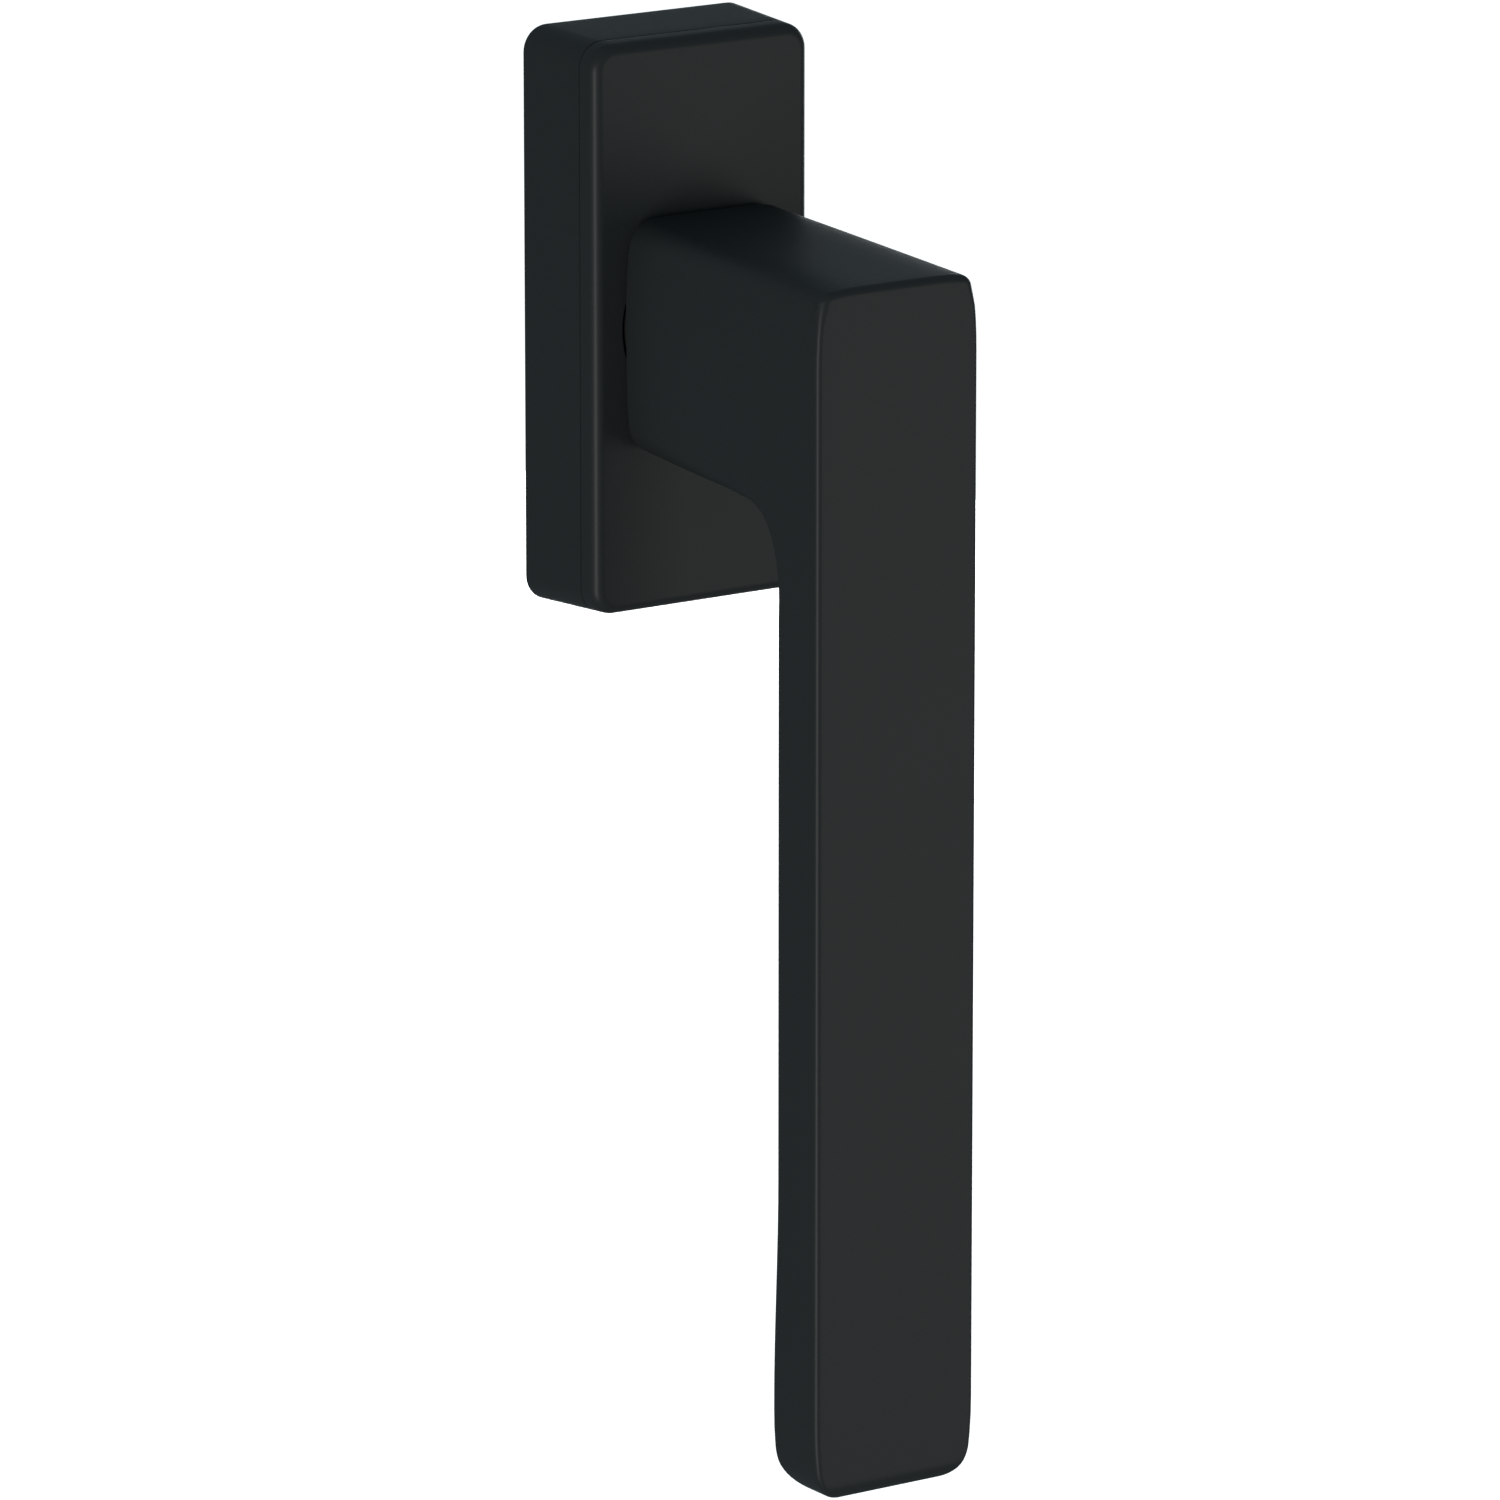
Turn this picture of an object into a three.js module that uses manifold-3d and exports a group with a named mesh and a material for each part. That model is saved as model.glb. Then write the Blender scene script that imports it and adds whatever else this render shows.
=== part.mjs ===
// Tilt-and-turn window handle: a rectangular rose with a turning lever, 7 mm spindle and hidden fixings.
// Millimetres. Outside: +X right, +Y towards the window sash, +Z up, origin on the spindle axis where
// the rose meets the sash. Inside the modelling group: x right, y up, z out from the sash to the hand.
import * as THREE from "three";
import { mergeVertices } from "three/addons/utils/BufferGeometryUtils.js";
import Module from "manifold-3d";

const wasm = await Module();
wasm.setup();

// ---- driving dimensions: back and front are heights above the sash ----
const ROSE = { width: 30.6, height: 66.5, depth: 13.5, corner: 3, taperX: 1.5, taperY: 1.1 };
const COVER = {
  depth: 2.7, wall: 1.1, edge: 1.3, edgeSteps: 4, gap: 0.25, hole: 10.6, collarIn: 12.6, collarOut: 13.9,
};
const BODY = {
  web: 2.95, wall: 2.2, inner: 2, hub: 11.2, hubFront: 12.1, boss: 6, lugRadius: 5, lugHeight: 2.5,
};
const SCREW = {
  spacing: 43, radius: 2.4, fit: 0.35, head: 4.6, cone: 2.3, rim: 0.3, length: 25, sink: 0.2, tip: 1.2,
  recess: { reach: 2.3, half: 0.45, depth: 1.9 },
};
const BUSH = { outer: 9.6, inner: 8.15, fit: 0.12, flange: 10.3, flangeFront: 13.9, flangeBack: 12.25 };
const JOURNAL = { radius: 8, back: 5, groove: 7.3, grooveFront: 6.75, grooveBack: 5.65 };
const LEVER = {
  gap: 0.9, reach: 38.9, rootTop: 12.9, rootBottom: -14.1, rootHalf: 11.1, gripTop: 10.9, gripHalf: 10.85,
  end: -128.4, thick: 8.3, endThick: 9.1, swellFrom: -92, swellTo: -118, edge: 0.7, corner: 3.2,
};
const NECK = { drop: 1.1, blendDown: 10, blendOut: 6.2, crown: 1.6, toe: 2.4, heel: 3.8 };
const SPINDLE = { half: 3.5, chamfer: 0.5, front: 24, back: -18, fit: 0.15, lead: 0.8 };
const SOCKET = { half: SPINDLE.half + SPINDLE.fit, corner: 0.4, endGap: 0.3 };
const PIN = { radius: 1.25, length: 15.2, height: 9.6, fit: 0.12 };
const CAM = { halfFlat: 7.5, corner: 9.3, back: 2.6, front: 4.8 };
const SPRING = {
  thick: 0.6, nose: 7.65, seat: 12.35, reach: 12.6, back: 2.7, front: 4.9, flat: 1.2, bend: 3.4, foot: 3,
};
const STOP = { inner: 10.2, outer: 14, shelf: 9.8, wall: 12.9, end: 14.6, clear: 0.2 };
const PLATE = { width: 25.4, height: 61, back: 1.4, front: 2.4, spindleHole: 6, fit: 0.2, seat: 0.05 };
const PLATE_SCREW = {
  x: 9.4, y: 17, post: 2.5, pilot: 1.2, pilotEnd: 7, radius: 1, head: 1.9, headHeight: 0.9, length: 4.6,
  recess: { reach: 1.1, half: 0.22, depth: 0.6 },
};
const WASHER = { inner: 8.2, outer: 10.8, back: 6.85, front: 7.45 };
const CIRCLIP = { inner: 7.42, outer: 9.3, back: 5.78, front: 6.62, opening: 1.5, mouth: 0.7 };
const EAR = { radius: 1.5, x: 2.6, out: 0.1, eye: 0.65 };
const WAVE = { inner: 8.25, outer: 9.9, thick: 0.14, centre: 14.15, lift: 0.02, waves: 3 };
const SNAP_RING = { inner: 11.35, outer: 12.4, back: 10.9, front: 12, slit: 1.6 };
const ROUND_SIDES = 36;
const SMALL_SIDES = 16;
const CORNER_STEPS = 4;
const PAST = 1; // how far a cutting solid runs past the face that it cuts
const FAR = 20; // beyond the outside of every round piece
const OVERLAP = 0.3; // how far two solids that join run into each other

const COVER_BACK = ROSE.depth - COVER.depth;
const COVER_ROOF = ROSE.depth - COVER.wall;
const BODY_FRONT = COVER_BACK - COVER.gap;
const WEB_BACK = BODY_FRONT - BODY.web;
const SCREW_TOP = BODY_FRONT - SCREW.sink;
const SCREW_Y = SCREW.spacing / 2;
const LEVER_ROOT = ROSE.depth + LEVER.gap;
const LEVER_FRONT = ROSE.depth + LEVER.reach;
const SIDES = [-1, 1];
const CORNERS = SIDES.flatMap((sx) => SIDES.map((sy) => [sx, sy]));
const PLATE_SCREWS = CORNERS.map(([sx, sy]) => [sx * PLATE_SCREW.x, sy * PLATE_SCREW.y]);

// ---- materials ----
const finish = (color, roughness, metalness) =>
  new THREE.MeshStandardMaterial({ color, roughness, metalness });
const BLACK_COAT = finish(0x2b2d2c, 0.5, 0.1);
const ZINC_PLATED = finish(0xb8babb, 0.35, 1);
const SPRING_STEEL = finish(0x8f9396, 0.3, 1);
const BRIGHT_STEEL = finish(0xa9acae, 0.28, 1);
const DARK_POLYAMIDE = finish(0x1d1e20, 0.55, 0);
const PALE_POLYAMIDE = finish(0xd9d6cc, 0.5, 0);

// ---- solids from three.js geometry ----
function solid(geometry) {
  const bare = geometry.index ? geometry.toNonIndexed() : geometry.clone();
  bare.deleteAttribute("normal");
  bare.deleteAttribute("uv");
  const merged = mergeVertices(bare, 1e-4);
  const vertProperties = merged.attributes.position.array;
  const triVerts = new Uint32Array(merged.index.array);
  return new wasm.Manifold(new wasm.Mesh({ numProp: 3, vertProperties, triVerts }));
}

function named(name, shape, material) {
  const { vertProperties, triVerts } = shape.getMesh();
  const geometry = new THREE.BufferGeometry();
  geometry.setAttribute("position", new THREE.BufferAttribute(new Float32Array(vertProperties), 3));
  geometry.setIndex(new THREE.BufferAttribute(new Uint32Array(triVerts), 1));
  geometry.computeVertexNormals();
  const mesh = new THREE.Mesh(geometry, material);
  mesh.name = name;
  return mesh;
}

function prism(shape, back, front, curveSegments = CORNER_STEPS) {
  const settings = { depth: front - back, bevelEnabled: false, curveSegments };
  return solid(new THREE.ExtrudeGeometry(shape, settings).translate(0, 0, back));
}

function cone(backRadius, frontRadius, back, front, x = 0, y = 0, sides = ROUND_SIDES) {
  const geometry = new THREE.CylinderGeometry(frontRadius, backRadius, front - back, sides);
  return solid(geometry.rotateX(Math.PI / 2).translate(x, y, (back + front) / 2));
}

const rod = (radius, back, front, x, y, sides) => cone(radius, radius, back, front, x, y, sides);

const tube = (inner, outer, back, front) =>
  rod(outer, back, front).subtract(rod(inner, back - PAST, front + PAST));

function box([x0, x1], [y0, y1], [z0, z1]) {
  const geometry = new THREE.BoxGeometry(Math.abs(x1 - x0), Math.abs(y1 - y0), Math.abs(z1 - z0));
  return solid(geometry.translate((x0 + x1) / 2, (y0 + y1) / 2, (z0 + z1) / 2));
}

function roundedRect(width, height, radius, centreY = 0) {
  const [x, y] = [width / 2 - radius, height / 2 - radius];
  const shape = new THREE.Shape();
  [[1, -1, -0.5], [1, 1, 0], [-1, 1, 0.5], [-1, -1, 1]].forEach(([sx, sy, turn]) => {
    shape.absarc(sx * x, centreY + sy * y, radius, turn * Math.PI, (turn + 0.5) * Math.PI);
  });
  return shape;
}

// A ring of points at one height from a closed shape, without its doubled points.
function ring(shape, z) {
  const points = shape.getPoints(CORNER_STEPS).map((p) => new THREE.Vector3(p.x, p.y, z));
  return points.filter((p, i) => p.distanceTo(points[(i + 1) % points.length]) > 1e-5);
}

// A closed skin through rings of equal length, each end closed by a fan about its middle.
function loft(rings) {
  const n = rings[0].length;
  const last = rings.length - 1;
  const middle = (r) => r.reduce((sum, p) => sum.add(p), new THREE.Vector3()).divideScalar(n);
  const points = [...rings.flat(), middle(rings[0]), middle(rings[last])];
  const index = [];
  for (let i = 0; i < n; i++) {
    const j = (i + 1) % n;
    for (let k = 0; k < last; k++) {
      const [a, b] = [k * n, (k + 1) * n];
      index.push(a + i, a + j, b + j, a + i, b + j, b + i);
    }
    index.push(rings.length * n, j, i, rings.length * n + 1, last * n + i, last * n + j);
  }
  return solid(new THREE.BufferGeometry().setFromPoints(points).setIndex(index));
}

// ---- the rose: a drafted outer form, split into body and cover ----
const draft = (z, inset = 0) => roundedRect(
  ROSE.width - (ROSE.taperX * z) / ROSE.depth - 2 * inset,
  ROSE.height - (ROSE.taperY * z) / ROSE.depth - 2 * inset,
  ROSE.corner - inset,
);

// The space inside the housing, less the bosses, posts and spring stops that stand in it.
function housingPocket() {
  const span = [ROSE.width - 2 * BODY.wall, ROSE.height - 2 * BODY.wall];
  const top = WEB_BACK + PAST;
  let pocket = prism(roundedRect(...span, BODY.inner), -PAST, WEB_BACK);
  for (const sy of SIDES) {
    pocket = pocket.subtract(rod(BODY.boss, -2 * PAST, top, 0, sy * SCREW_Y));
  }
  for (const [x, y] of PLATE_SCREWS) {
    pocket = pocket.subtract(rod(PLATE_SCREW.post, PLATE.front + PLATE.seat, top, x, y, SMALL_SIDES));
  }
  for (const [sx, sy] of CORNERS) {
    const across = [sx * STOP.inner, sx * STOP.outer];
    const shelf = box(across, [sy * STOP.shelf, sy * STOP.end], [SPRING.front + STOP.clear, top]);
    const wall = box(across, [sy * STOP.wall, sy * STOP.end], [PLATE.front + STOP.clear, top]);
    pocket = pocket.subtract(shelf).subtract(wall);
  }
  return pocket;
}

function roseBody() {
  let body = loft([ring(draft(0), 0), ring(draft(BODY_FRONT), BODY_FRONT)])
    .subtract(housingPocket())
    .add(rod(BODY.hub, WEB_BACK + PAST, BODY.hubFront));
  const hole = SCREW.radius + SCREW.fit;
  const mouth = SCREW.head + SCREW.fit;
  const rim = SCREW_TOP - SCREW.rim;
  for (const sy of SIDES) {
    const y = sy * SCREW_Y;
    body = body.add(rod(BODY.lugRadius, -BODY.lugHeight, PAST, 0, y))
      .subtract(rod(hole, -BODY.lugHeight - PAST, BODY_FRONT, 0, y))
      .subtract(cone(hole, mouth, rim - SCREW.cone, rim, 0, y))
      .subtract(rod(mouth, rim, BODY_FRONT + PAST, 0, y));
  }
  for (const [x, y] of PLATE_SCREWS) {
    body = body.subtract(rod(PLATE_SCREW.pilot, 0, PLATE_SCREW.pilotEnd, x, y, SMALL_SIDES));
  }
  return body.subtract(rod(BUSH.outer + BUSH.fit, 0, BODY.hubFront + PAST));
}

function roseCover() {
  const flat = ROSE.depth - COVER.edge;
  const rings = [ring(draft(COVER_BACK), COVER_BACK), ring(draft(flat), flat)];
  for (let i = 1; i <= COVER.edgeSteps; i++) {
    const turn = (i / COVER.edgeSteps) * (Math.PI / 2);
    const z = flat + COVER.edge * Math.sin(turn);
    rings.push(ring(draft(z, COVER.edge * (1 - Math.cos(turn))), z));
  }
  const within = (inset, top) =>
    loft([ring(draft(COVER_BACK, inset), COVER_BACK - PAST), ring(draft(COVER_ROOF, inset), top)]);
  const collar = tube(COVER.collarIn, COVER.collarOut, COVER_BACK + OVERLAP, COVER_ROOF + OVERLAP)
    .intersect(within(COVER.wall / 2, COVER_ROOF + 2 * OVERLAP));
  return loft(rings).subtract(within(COVER.wall, COVER_ROOF)).add(collar)
    .subtract(rod(COVER.hole, COVER_BACK - PAST, ROSE.depth + PAST));
}

// ---- the lever ----
// Its side outline, drawn as (height above the sash, up): neck, concave blend, then the hanging grip.
function leverSide() {
  const back = LEVER_FRONT - LEVER.thick;
  const endBack = LEVER_FRONT - LEVER.endThick;
  const { rootTop, rootBottom, gripTop, end, swellFrom, swellTo } = LEVER;
  const { drop, blendDown, blendOut, crown, toe, heel } = NECK;
  const low = rootBottom - drop;
  const pull = 0.6; // how far the blend's handles reach along its two tangents
  const side = new THREE.Shape();
  side.moveTo(LEVER_ROOT, rootTop);
  side.lineTo(LEVER_FRONT - crown, gripTop);
  side.quadraticCurveTo(LEVER_FRONT, gripTop, LEVER_FRONT, gripTop - crown);
  side.lineTo(LEVER_FRONT, end + toe);
  side.quadraticCurveTo(LEVER_FRONT, end, LEVER_FRONT - toe, end);
  side.lineTo(endBack + heel, end);
  side.quadraticCurveTo(endBack, end, endBack, end + heel);
  side.lineTo(endBack, swellTo);
  const middle = (swellFrom + swellTo) / 2;
  side.bezierCurveTo(endBack, middle, back, middle, back, swellFrom);
  side.lineTo(back, low - blendDown);
  side.bezierCurveTo(
    back, low - blendDown * (1 - pull), back - blendOut * (1 - pull), low, back - blendOut, low,
  );
  side.lineTo(LEVER_ROOT, rootBottom);
  side.closePath();
  return side;
}

// The side outline given width, trimmed to the front outline that tapers from the root to the grip.
function leverCasting() {
  const { edge, corner, rootHalf, gripHalf, rootTop, gripTop, end } = LEVER;
  const half = Math.max(rootHalf, gripHalf);
  const flank = new THREE.ExtrudeGeometry(leverSide(), {
    depth: 2 * (half - edge), bevelEnabled: true, bevelThickness: edge, bevelSize: edge,
    bevelOffset: -edge, bevelSegments: 2, curveSegments: 6,
  });
  flank.translate(0, 0, edge - half).rotateY(-Math.PI / 2);
  const outline = (halfWidth, top, z) => {
    const height = top - end;
    return ring(roundedRect(2 * halfWidth, height, corner, top - height / 2), z);
  };
  const front = outline(gripHalf, gripTop, LEVER_FRONT - LEVER.endThick);
  const frame = loft([
    outline(rootHalf, rootTop, LEVER_ROOT - PAST),
    front,
    front.map((p) => p.clone().setZ(LEVER_FRONT + PAST)),
  ]);
  return solid(flank).intersect(frame);
}

function crossPin(radius, length) {
  const geometry = new THREE.CylinderGeometry(radius, radius, length, SMALL_SIDES);
  return solid(geometry.rotateZ(Math.PI / 2).translate(0, 0, PIN.height));
}

const squareSocket = (back, front) =>
  prism(roundedRect(2 * SOCKET.half, 2 * SOCKET.half, SOCKET.corner), back, front, 2);

function lever() {
  const journal = rod(JOURNAL.radius, JOURNAL.back, LEVER_ROOT + PAST)
    .subtract(tube(JOURNAL.groove, FAR, JOURNAL.grooveBack, JOURNAL.grooveFront));
  return leverCasting().add(journal)
    .subtract(squareSocket(JOURNAL.back - PAST, SPINDLE.front + SOCKET.endGap))
    .subtract(crossPin(PIN.radius + PIN.fit, 2 * FAR));
}

function spindle() {
  const { half, chamfer, front, back, lead } = SPINDLE;
  const square = (h, z) => {
    const c = h - chamfer;
    const corners = [[h, -c], [h, c], [c, h], [-c, h], [-h, c], [-h, -c], [-c, -h], [c, -h]];
    return corners.map(([x, y]) => new THREE.Vector3(x, y, z));
  };
  return loft([square(half - lead, back), square(half, back + lead), square(half, front)])
    .subtract(crossPin(PIN.radius + PIN.fit, 2 * FAR));
}

// ---- bearing, retaining and detent pieces ----
const bearingBush = () => tube(BUSH.inner, BUSH.outer, WEB_BACK, BUSH.flangeBack + OVERLAP)
  .add(tube(BUSH.inner, BUSH.flange, BUSH.flangeBack, BUSH.flangeFront));

const slot = (half) => box([-half, half], [-FAR, 0], [0, FAR]);

function circlip() {
  let clip = tube(CIRCLIP.inner, CIRCLIP.outer, CIRCLIP.back, CIRCLIP.front).subtract(slot(CIRCLIP.opening));
  for (const sx of SIDES) {
    const [x, y] = [sx * EAR.x, -(CIRCLIP.outer + EAR.out)];
    clip = clip.add(rod(EAR.radius, CIRCLIP.back, CIRCLIP.front, x, y, SMALL_SIDES))
      .subtract(rod(EAR.eye, 0, FAR, x, y, SMALL_SIDES));
  }
  return clip.subtract(rod(CIRCLIP.inner, 0, FAR)).subtract(slot(CIRCLIP.mouth));
}

// A thin ring whose height waves as it goes round, so that it takes up the lever's end play.
function waveWasher() {
  const points = [];
  for (let i = 0; i < ROUND_SIDES; i++) {
    const turn = (i / ROUND_SIDES) * 2 * Math.PI;
    const middle = WAVE.centre + WAVE.lift * Math.cos(WAVE.waves * turn);
    const corner = (r, z) => new THREE.Vector3(r * Math.cos(turn), r * Math.sin(turn), z);
    const [low, high] = [middle - WAVE.thick / 2, middle + WAVE.thick / 2];
    points.push(corner(WAVE.inner, low), corner(WAVE.inner, high));
    points.push(corner(WAVE.outer, high), corner(WAVE.outer, low));
  }
  const index = [];
  for (let i = 0; i < ROUND_SIDES; i++) {
    const [here, next] = [4 * i, 4 * ((i + 1) % ROUND_SIDES)];
    for (let k = 0; k < 4; k++) {
      const m = (k + 1) % 4;
      index.push(here + k, here + m, next + m, here + k, next + m, next + k);
    }
  }
  return solid(new THREE.BufferGeometry().setFromPoints(points).setIndex(index));
}

function detentCam() {
  const flats = [-CAM.halfFlat, CAM.halfFlat];
  return rod(CAM.corner, CAM.back, CAM.front).intersect(box(flats, flats, [0, FAR]))
    .subtract(squareSocket(0, FAR));
}

// A bowed leaf whose middle rests on a cam flat and whose feet bear on the wall of the rose.
function detentSpring() {
  const { thick, nose, seat, reach, back, front, flat, bend, foot } = SPRING;
  const ease = [nose + thick / 2, bend];
  const ankle = [seat - 2 * thick, reach - foot];
  const half = [[seat, reach], ankle, ease, [nose, flat]];
  const mirrored = half.map(([x, y]) => [x, -y]).reverse();
  const line = [...half, ...mirrored].map(([x, y]) => new THREE.Vector3(x, y, 0));
  const inner = new THREE.CatmullRomCurve3(line, false, "centripetal").getPoints(ROUND_SIDES / 2);
  const outer = inner.map((p) => new THREE.Vector2(p.x + thick, p.y)).reverse();
  return prism(new THREE.Shape([...inner.map((p) => new THREE.Vector2(p.x, p.y)), ...outer]), back, front);
}

function basePlate() {
  const outline = roundedRect(PLATE.width, PLATE.height, BODY.inner);
  let plate = prism(outline, PLATE.back, PLATE.front).subtract(rod(PLATE.spindleHole, 0, FAR));
  for (const sy of SIDES) {
    plate = plate.subtract(rod(BODY.boss + PLATE.fit, 0, FAR, 0, sy * SCREW_Y));
  }
  for (const [x, y] of PLATE_SCREWS) {
    plate = plate.subtract(rod(PLATE_SCREW.pilot, 0, FAR, x, y, SMALL_SIDES));
  }
  return plate;
}

const coverSnapRing = () => tube(SNAP_RING.inner, SNAP_RING.outer, SNAP_RING.back, SNAP_RING.front)
  .subtract(slot(SNAP_RING.slit));

// ---- fasteners, each with the top of its head towards +z ----
function crossRecess({ reach, half, depth }, top) {
  const [long, short, height] = [[-reach, reach], [-half, half], [top - depth, top + PAST]];
  return box(long, short, height).add(box(short, long, height));
}

function fixingScrew() {
  const { radius, head, cone: taper, rim, length, tip, recess } = SCREW;
  return rod(head, -rim, 0)
    .add(cone(radius, head, -rim - taper, -rim))
    .add(rod(radius, tip - length, OVERLAP - rim - taper, 0, 0, SMALL_SIDES))
    .add(cone(radius / 2, radius, -length, tip - length, 0, 0, SMALL_SIDES))
    .subtract(crossRecess(recess, 0));
}

function plateScrew() {
  const { radius, head, headHeight, length, recess } = PLATE_SCREW;
  return rod(head, 0, headHeight, 0, 0, SMALL_SIDES)
    .add(rod(radius, -length, OVERLAP, 0, 0, SMALL_SIDES))
    .subtract(crossRecess(recess, headHeight));
}

// ---- assembly ----
const assembly = new THREE.Group();
assembly.rotation.x = Math.PI / 2;

assembly.add(
  named("rose_body", roseBody(), BLACK_COAT),
  named("rose_cover", roseCover(), BLACK_COAT),
  named("lever", lever(), BLACK_COAT),
  named("spindle", spindle(), ZINC_PLATED),
  named("spindle_pin", crossPin(PIN.radius, PIN.length), BRIGHT_STEEL),
  named("bearing_bush", bearingBush(), DARK_POLYAMIDE),
  named("wave_washer", waveWasher(), SPRING_STEEL),
  named("retaining_washer", tube(WASHER.inner, WASHER.outer, WASHER.back, WASHER.front), ZINC_PLATED),
  named("circlip", circlip(), SPRING_STEEL),
  named("detent_cam", detentCam(), PALE_POLYAMIDE),
  named("detent_spring_right", detentSpring(), SPRING_STEEL),
  named("base_plate", basePlate(), ZINC_PLATED),
  named("cover_snap_ring", coverSnapRing(), SPRING_STEEL),
);

const leftSpring = named("detent_spring_left", detentSpring(), SPRING_STEEL);
leftSpring.rotation.z = Math.PI;
assembly.add(leftSpring);

[["upper", 1], ["lower", -1]].forEach(([place, sy]) => {
  const screw = named("fixing_screw_" + place, fixingScrew(), ZINC_PLATED);
  screw.position.set(0, sy * SCREW_Y, SCREW_TOP);
  assembly.add(screw);
});

PLATE_SCREWS.forEach(([x, y], i) => {
  const screw = named("plate_screw_" + (i + 1), plateScrew(), BRIGHT_STEEL);
  screw.position.set(x, y, PLATE.back - PLATE.seat);
  screw.rotation.x = Math.PI;
  assembly.add(screw);
});

const handle = new THREE.Group();
handle.add(assembly);
export default handle;
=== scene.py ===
"""Tilt-and-turn window handle: a matt black rose and lever with their fixings, laid out as an add-on."""

import math

import bmesh
import bpy
from bpy.props import FloatProperty, FloatVectorProperty, IntProperty, PointerProperty
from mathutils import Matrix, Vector


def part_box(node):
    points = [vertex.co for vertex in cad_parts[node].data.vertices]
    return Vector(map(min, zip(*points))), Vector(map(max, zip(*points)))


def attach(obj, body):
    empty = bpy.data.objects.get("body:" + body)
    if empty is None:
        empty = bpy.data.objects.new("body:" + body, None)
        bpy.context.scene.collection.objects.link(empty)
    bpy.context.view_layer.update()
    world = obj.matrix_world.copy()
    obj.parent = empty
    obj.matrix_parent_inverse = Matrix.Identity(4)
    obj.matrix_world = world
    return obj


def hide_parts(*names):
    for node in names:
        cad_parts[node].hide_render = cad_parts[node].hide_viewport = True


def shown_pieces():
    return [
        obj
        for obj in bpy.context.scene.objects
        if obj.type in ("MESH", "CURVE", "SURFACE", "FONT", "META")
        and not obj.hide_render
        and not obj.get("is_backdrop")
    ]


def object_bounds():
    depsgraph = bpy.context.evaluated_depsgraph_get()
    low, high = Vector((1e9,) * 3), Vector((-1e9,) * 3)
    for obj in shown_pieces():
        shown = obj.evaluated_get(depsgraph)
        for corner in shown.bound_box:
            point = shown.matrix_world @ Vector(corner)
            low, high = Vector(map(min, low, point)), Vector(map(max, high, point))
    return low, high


bl_info = {
    "name": "Tilt and turn window handle",
    "version": (1, 0, 0),
    "blender": (4, 5, 0),
    "location": "View3D > Sidebar > Window handle",
    "description": "Makes the visible pieces of a window handle round its packed frame",
    "category": "Object",
}

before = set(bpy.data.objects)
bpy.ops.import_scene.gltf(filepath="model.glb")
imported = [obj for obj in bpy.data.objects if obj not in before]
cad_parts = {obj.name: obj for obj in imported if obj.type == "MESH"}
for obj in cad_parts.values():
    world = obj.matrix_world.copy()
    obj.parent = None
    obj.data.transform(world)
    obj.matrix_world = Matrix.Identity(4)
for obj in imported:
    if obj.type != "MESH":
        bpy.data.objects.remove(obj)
cad_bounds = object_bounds()

MM = 0.001
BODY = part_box("rose_body")
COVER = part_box("rose_cover")
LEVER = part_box("lever")
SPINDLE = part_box("spindle")
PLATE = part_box("base_plate")
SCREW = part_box("fixing_screw_upper")
PLATE_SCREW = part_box("plate_screw_4")

SEAM = 0.25 * MM  # from the front of the housing to the back of the cover's CAD solid
PAST = 1 * MM  # how far a cutting shape runs past the face that it cuts
SINK = 0.5 * MM  # how far a joined shape reaches into the piece that it joins
CREASE = math.radians(32)  # edges sharper than this are shaded as edges
ROUND_SIDES = 128  # sides of the large round pieces
PLATE_SPOTS = [(x, z) for x in (-1, 1) for z in (-1, 1)]


# ---------------------------------------------------------------- sizes and colours a user would change

def length(name, description, millimetres, low=0.0):
    return FloatProperty(
        name=name, description=description, default=millimetres * MM, min=low, unit="LENGTH", precision=5,
    )


def share(name, description, default):
    return FloatProperty(name=name, description=description, default=default, min=0, max=1, subtype="FACTOR")


def colour(name, description, default):
    return FloatVectorProperty(
        name=name, description=description, default=default, size=3, min=0, max=1, subtype="COLOR",
    )


def power(name, description, watts):
    return FloatProperty(name=name, description=description, default=watts, min=0, unit="POWER")


def angle(name, description, degrees):
    return FloatProperty(name=name, description=description, default=math.radians(degrees), subtype="ANGLE")


class CoatSettings(bpy.types.PropertyGroup):
    """The matt black powder coat on the castings."""

    colour: colour("Coat colour", "Colour of the powder coat", (0.0145, 0.0165, 0.0175))
    roughness: share("Coat roughness", "How matt the coat is", 0.58)
    reflection: share("Coat reflection", "How strongly the coat mirrors light, as a specular level", 0.08)
    sheen: share("Coat sheen", "Weight of the thin smooth skin on top of the coat", 0.14)
    sheen_roughness: share("Skin roughness", "How matt that skin is", 0.36)
    grain: length("Coat grain", "Size of the finest texture in the coat", 0.22)
    peel: length("Coat ripple", "Size of the soft ripples that the coat sets with", 1.6)


class MetalSettings(bpy.types.PropertyGroup):
    """The bare and plated metals and the mouldings."""

    zinc: colour("Zinc colour", "Colour of the zinc plating", (0.40, 0.42, 0.44))
    steel: colour("Steel colour", "Colour of the bright steel", (0.52, 0.53, 0.54))
    spring: colour("Spring steel colour", "Colour of the hardened springs and rings", (0.26, 0.27, 0.29))
    bush: colour("Bush colour", "Colour of the bearing bush", (0.012, 0.012, 0.013))
    cam: colour("Cam colour", "Colour of the detent cam", (0.66, 0.64, 0.57))


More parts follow.
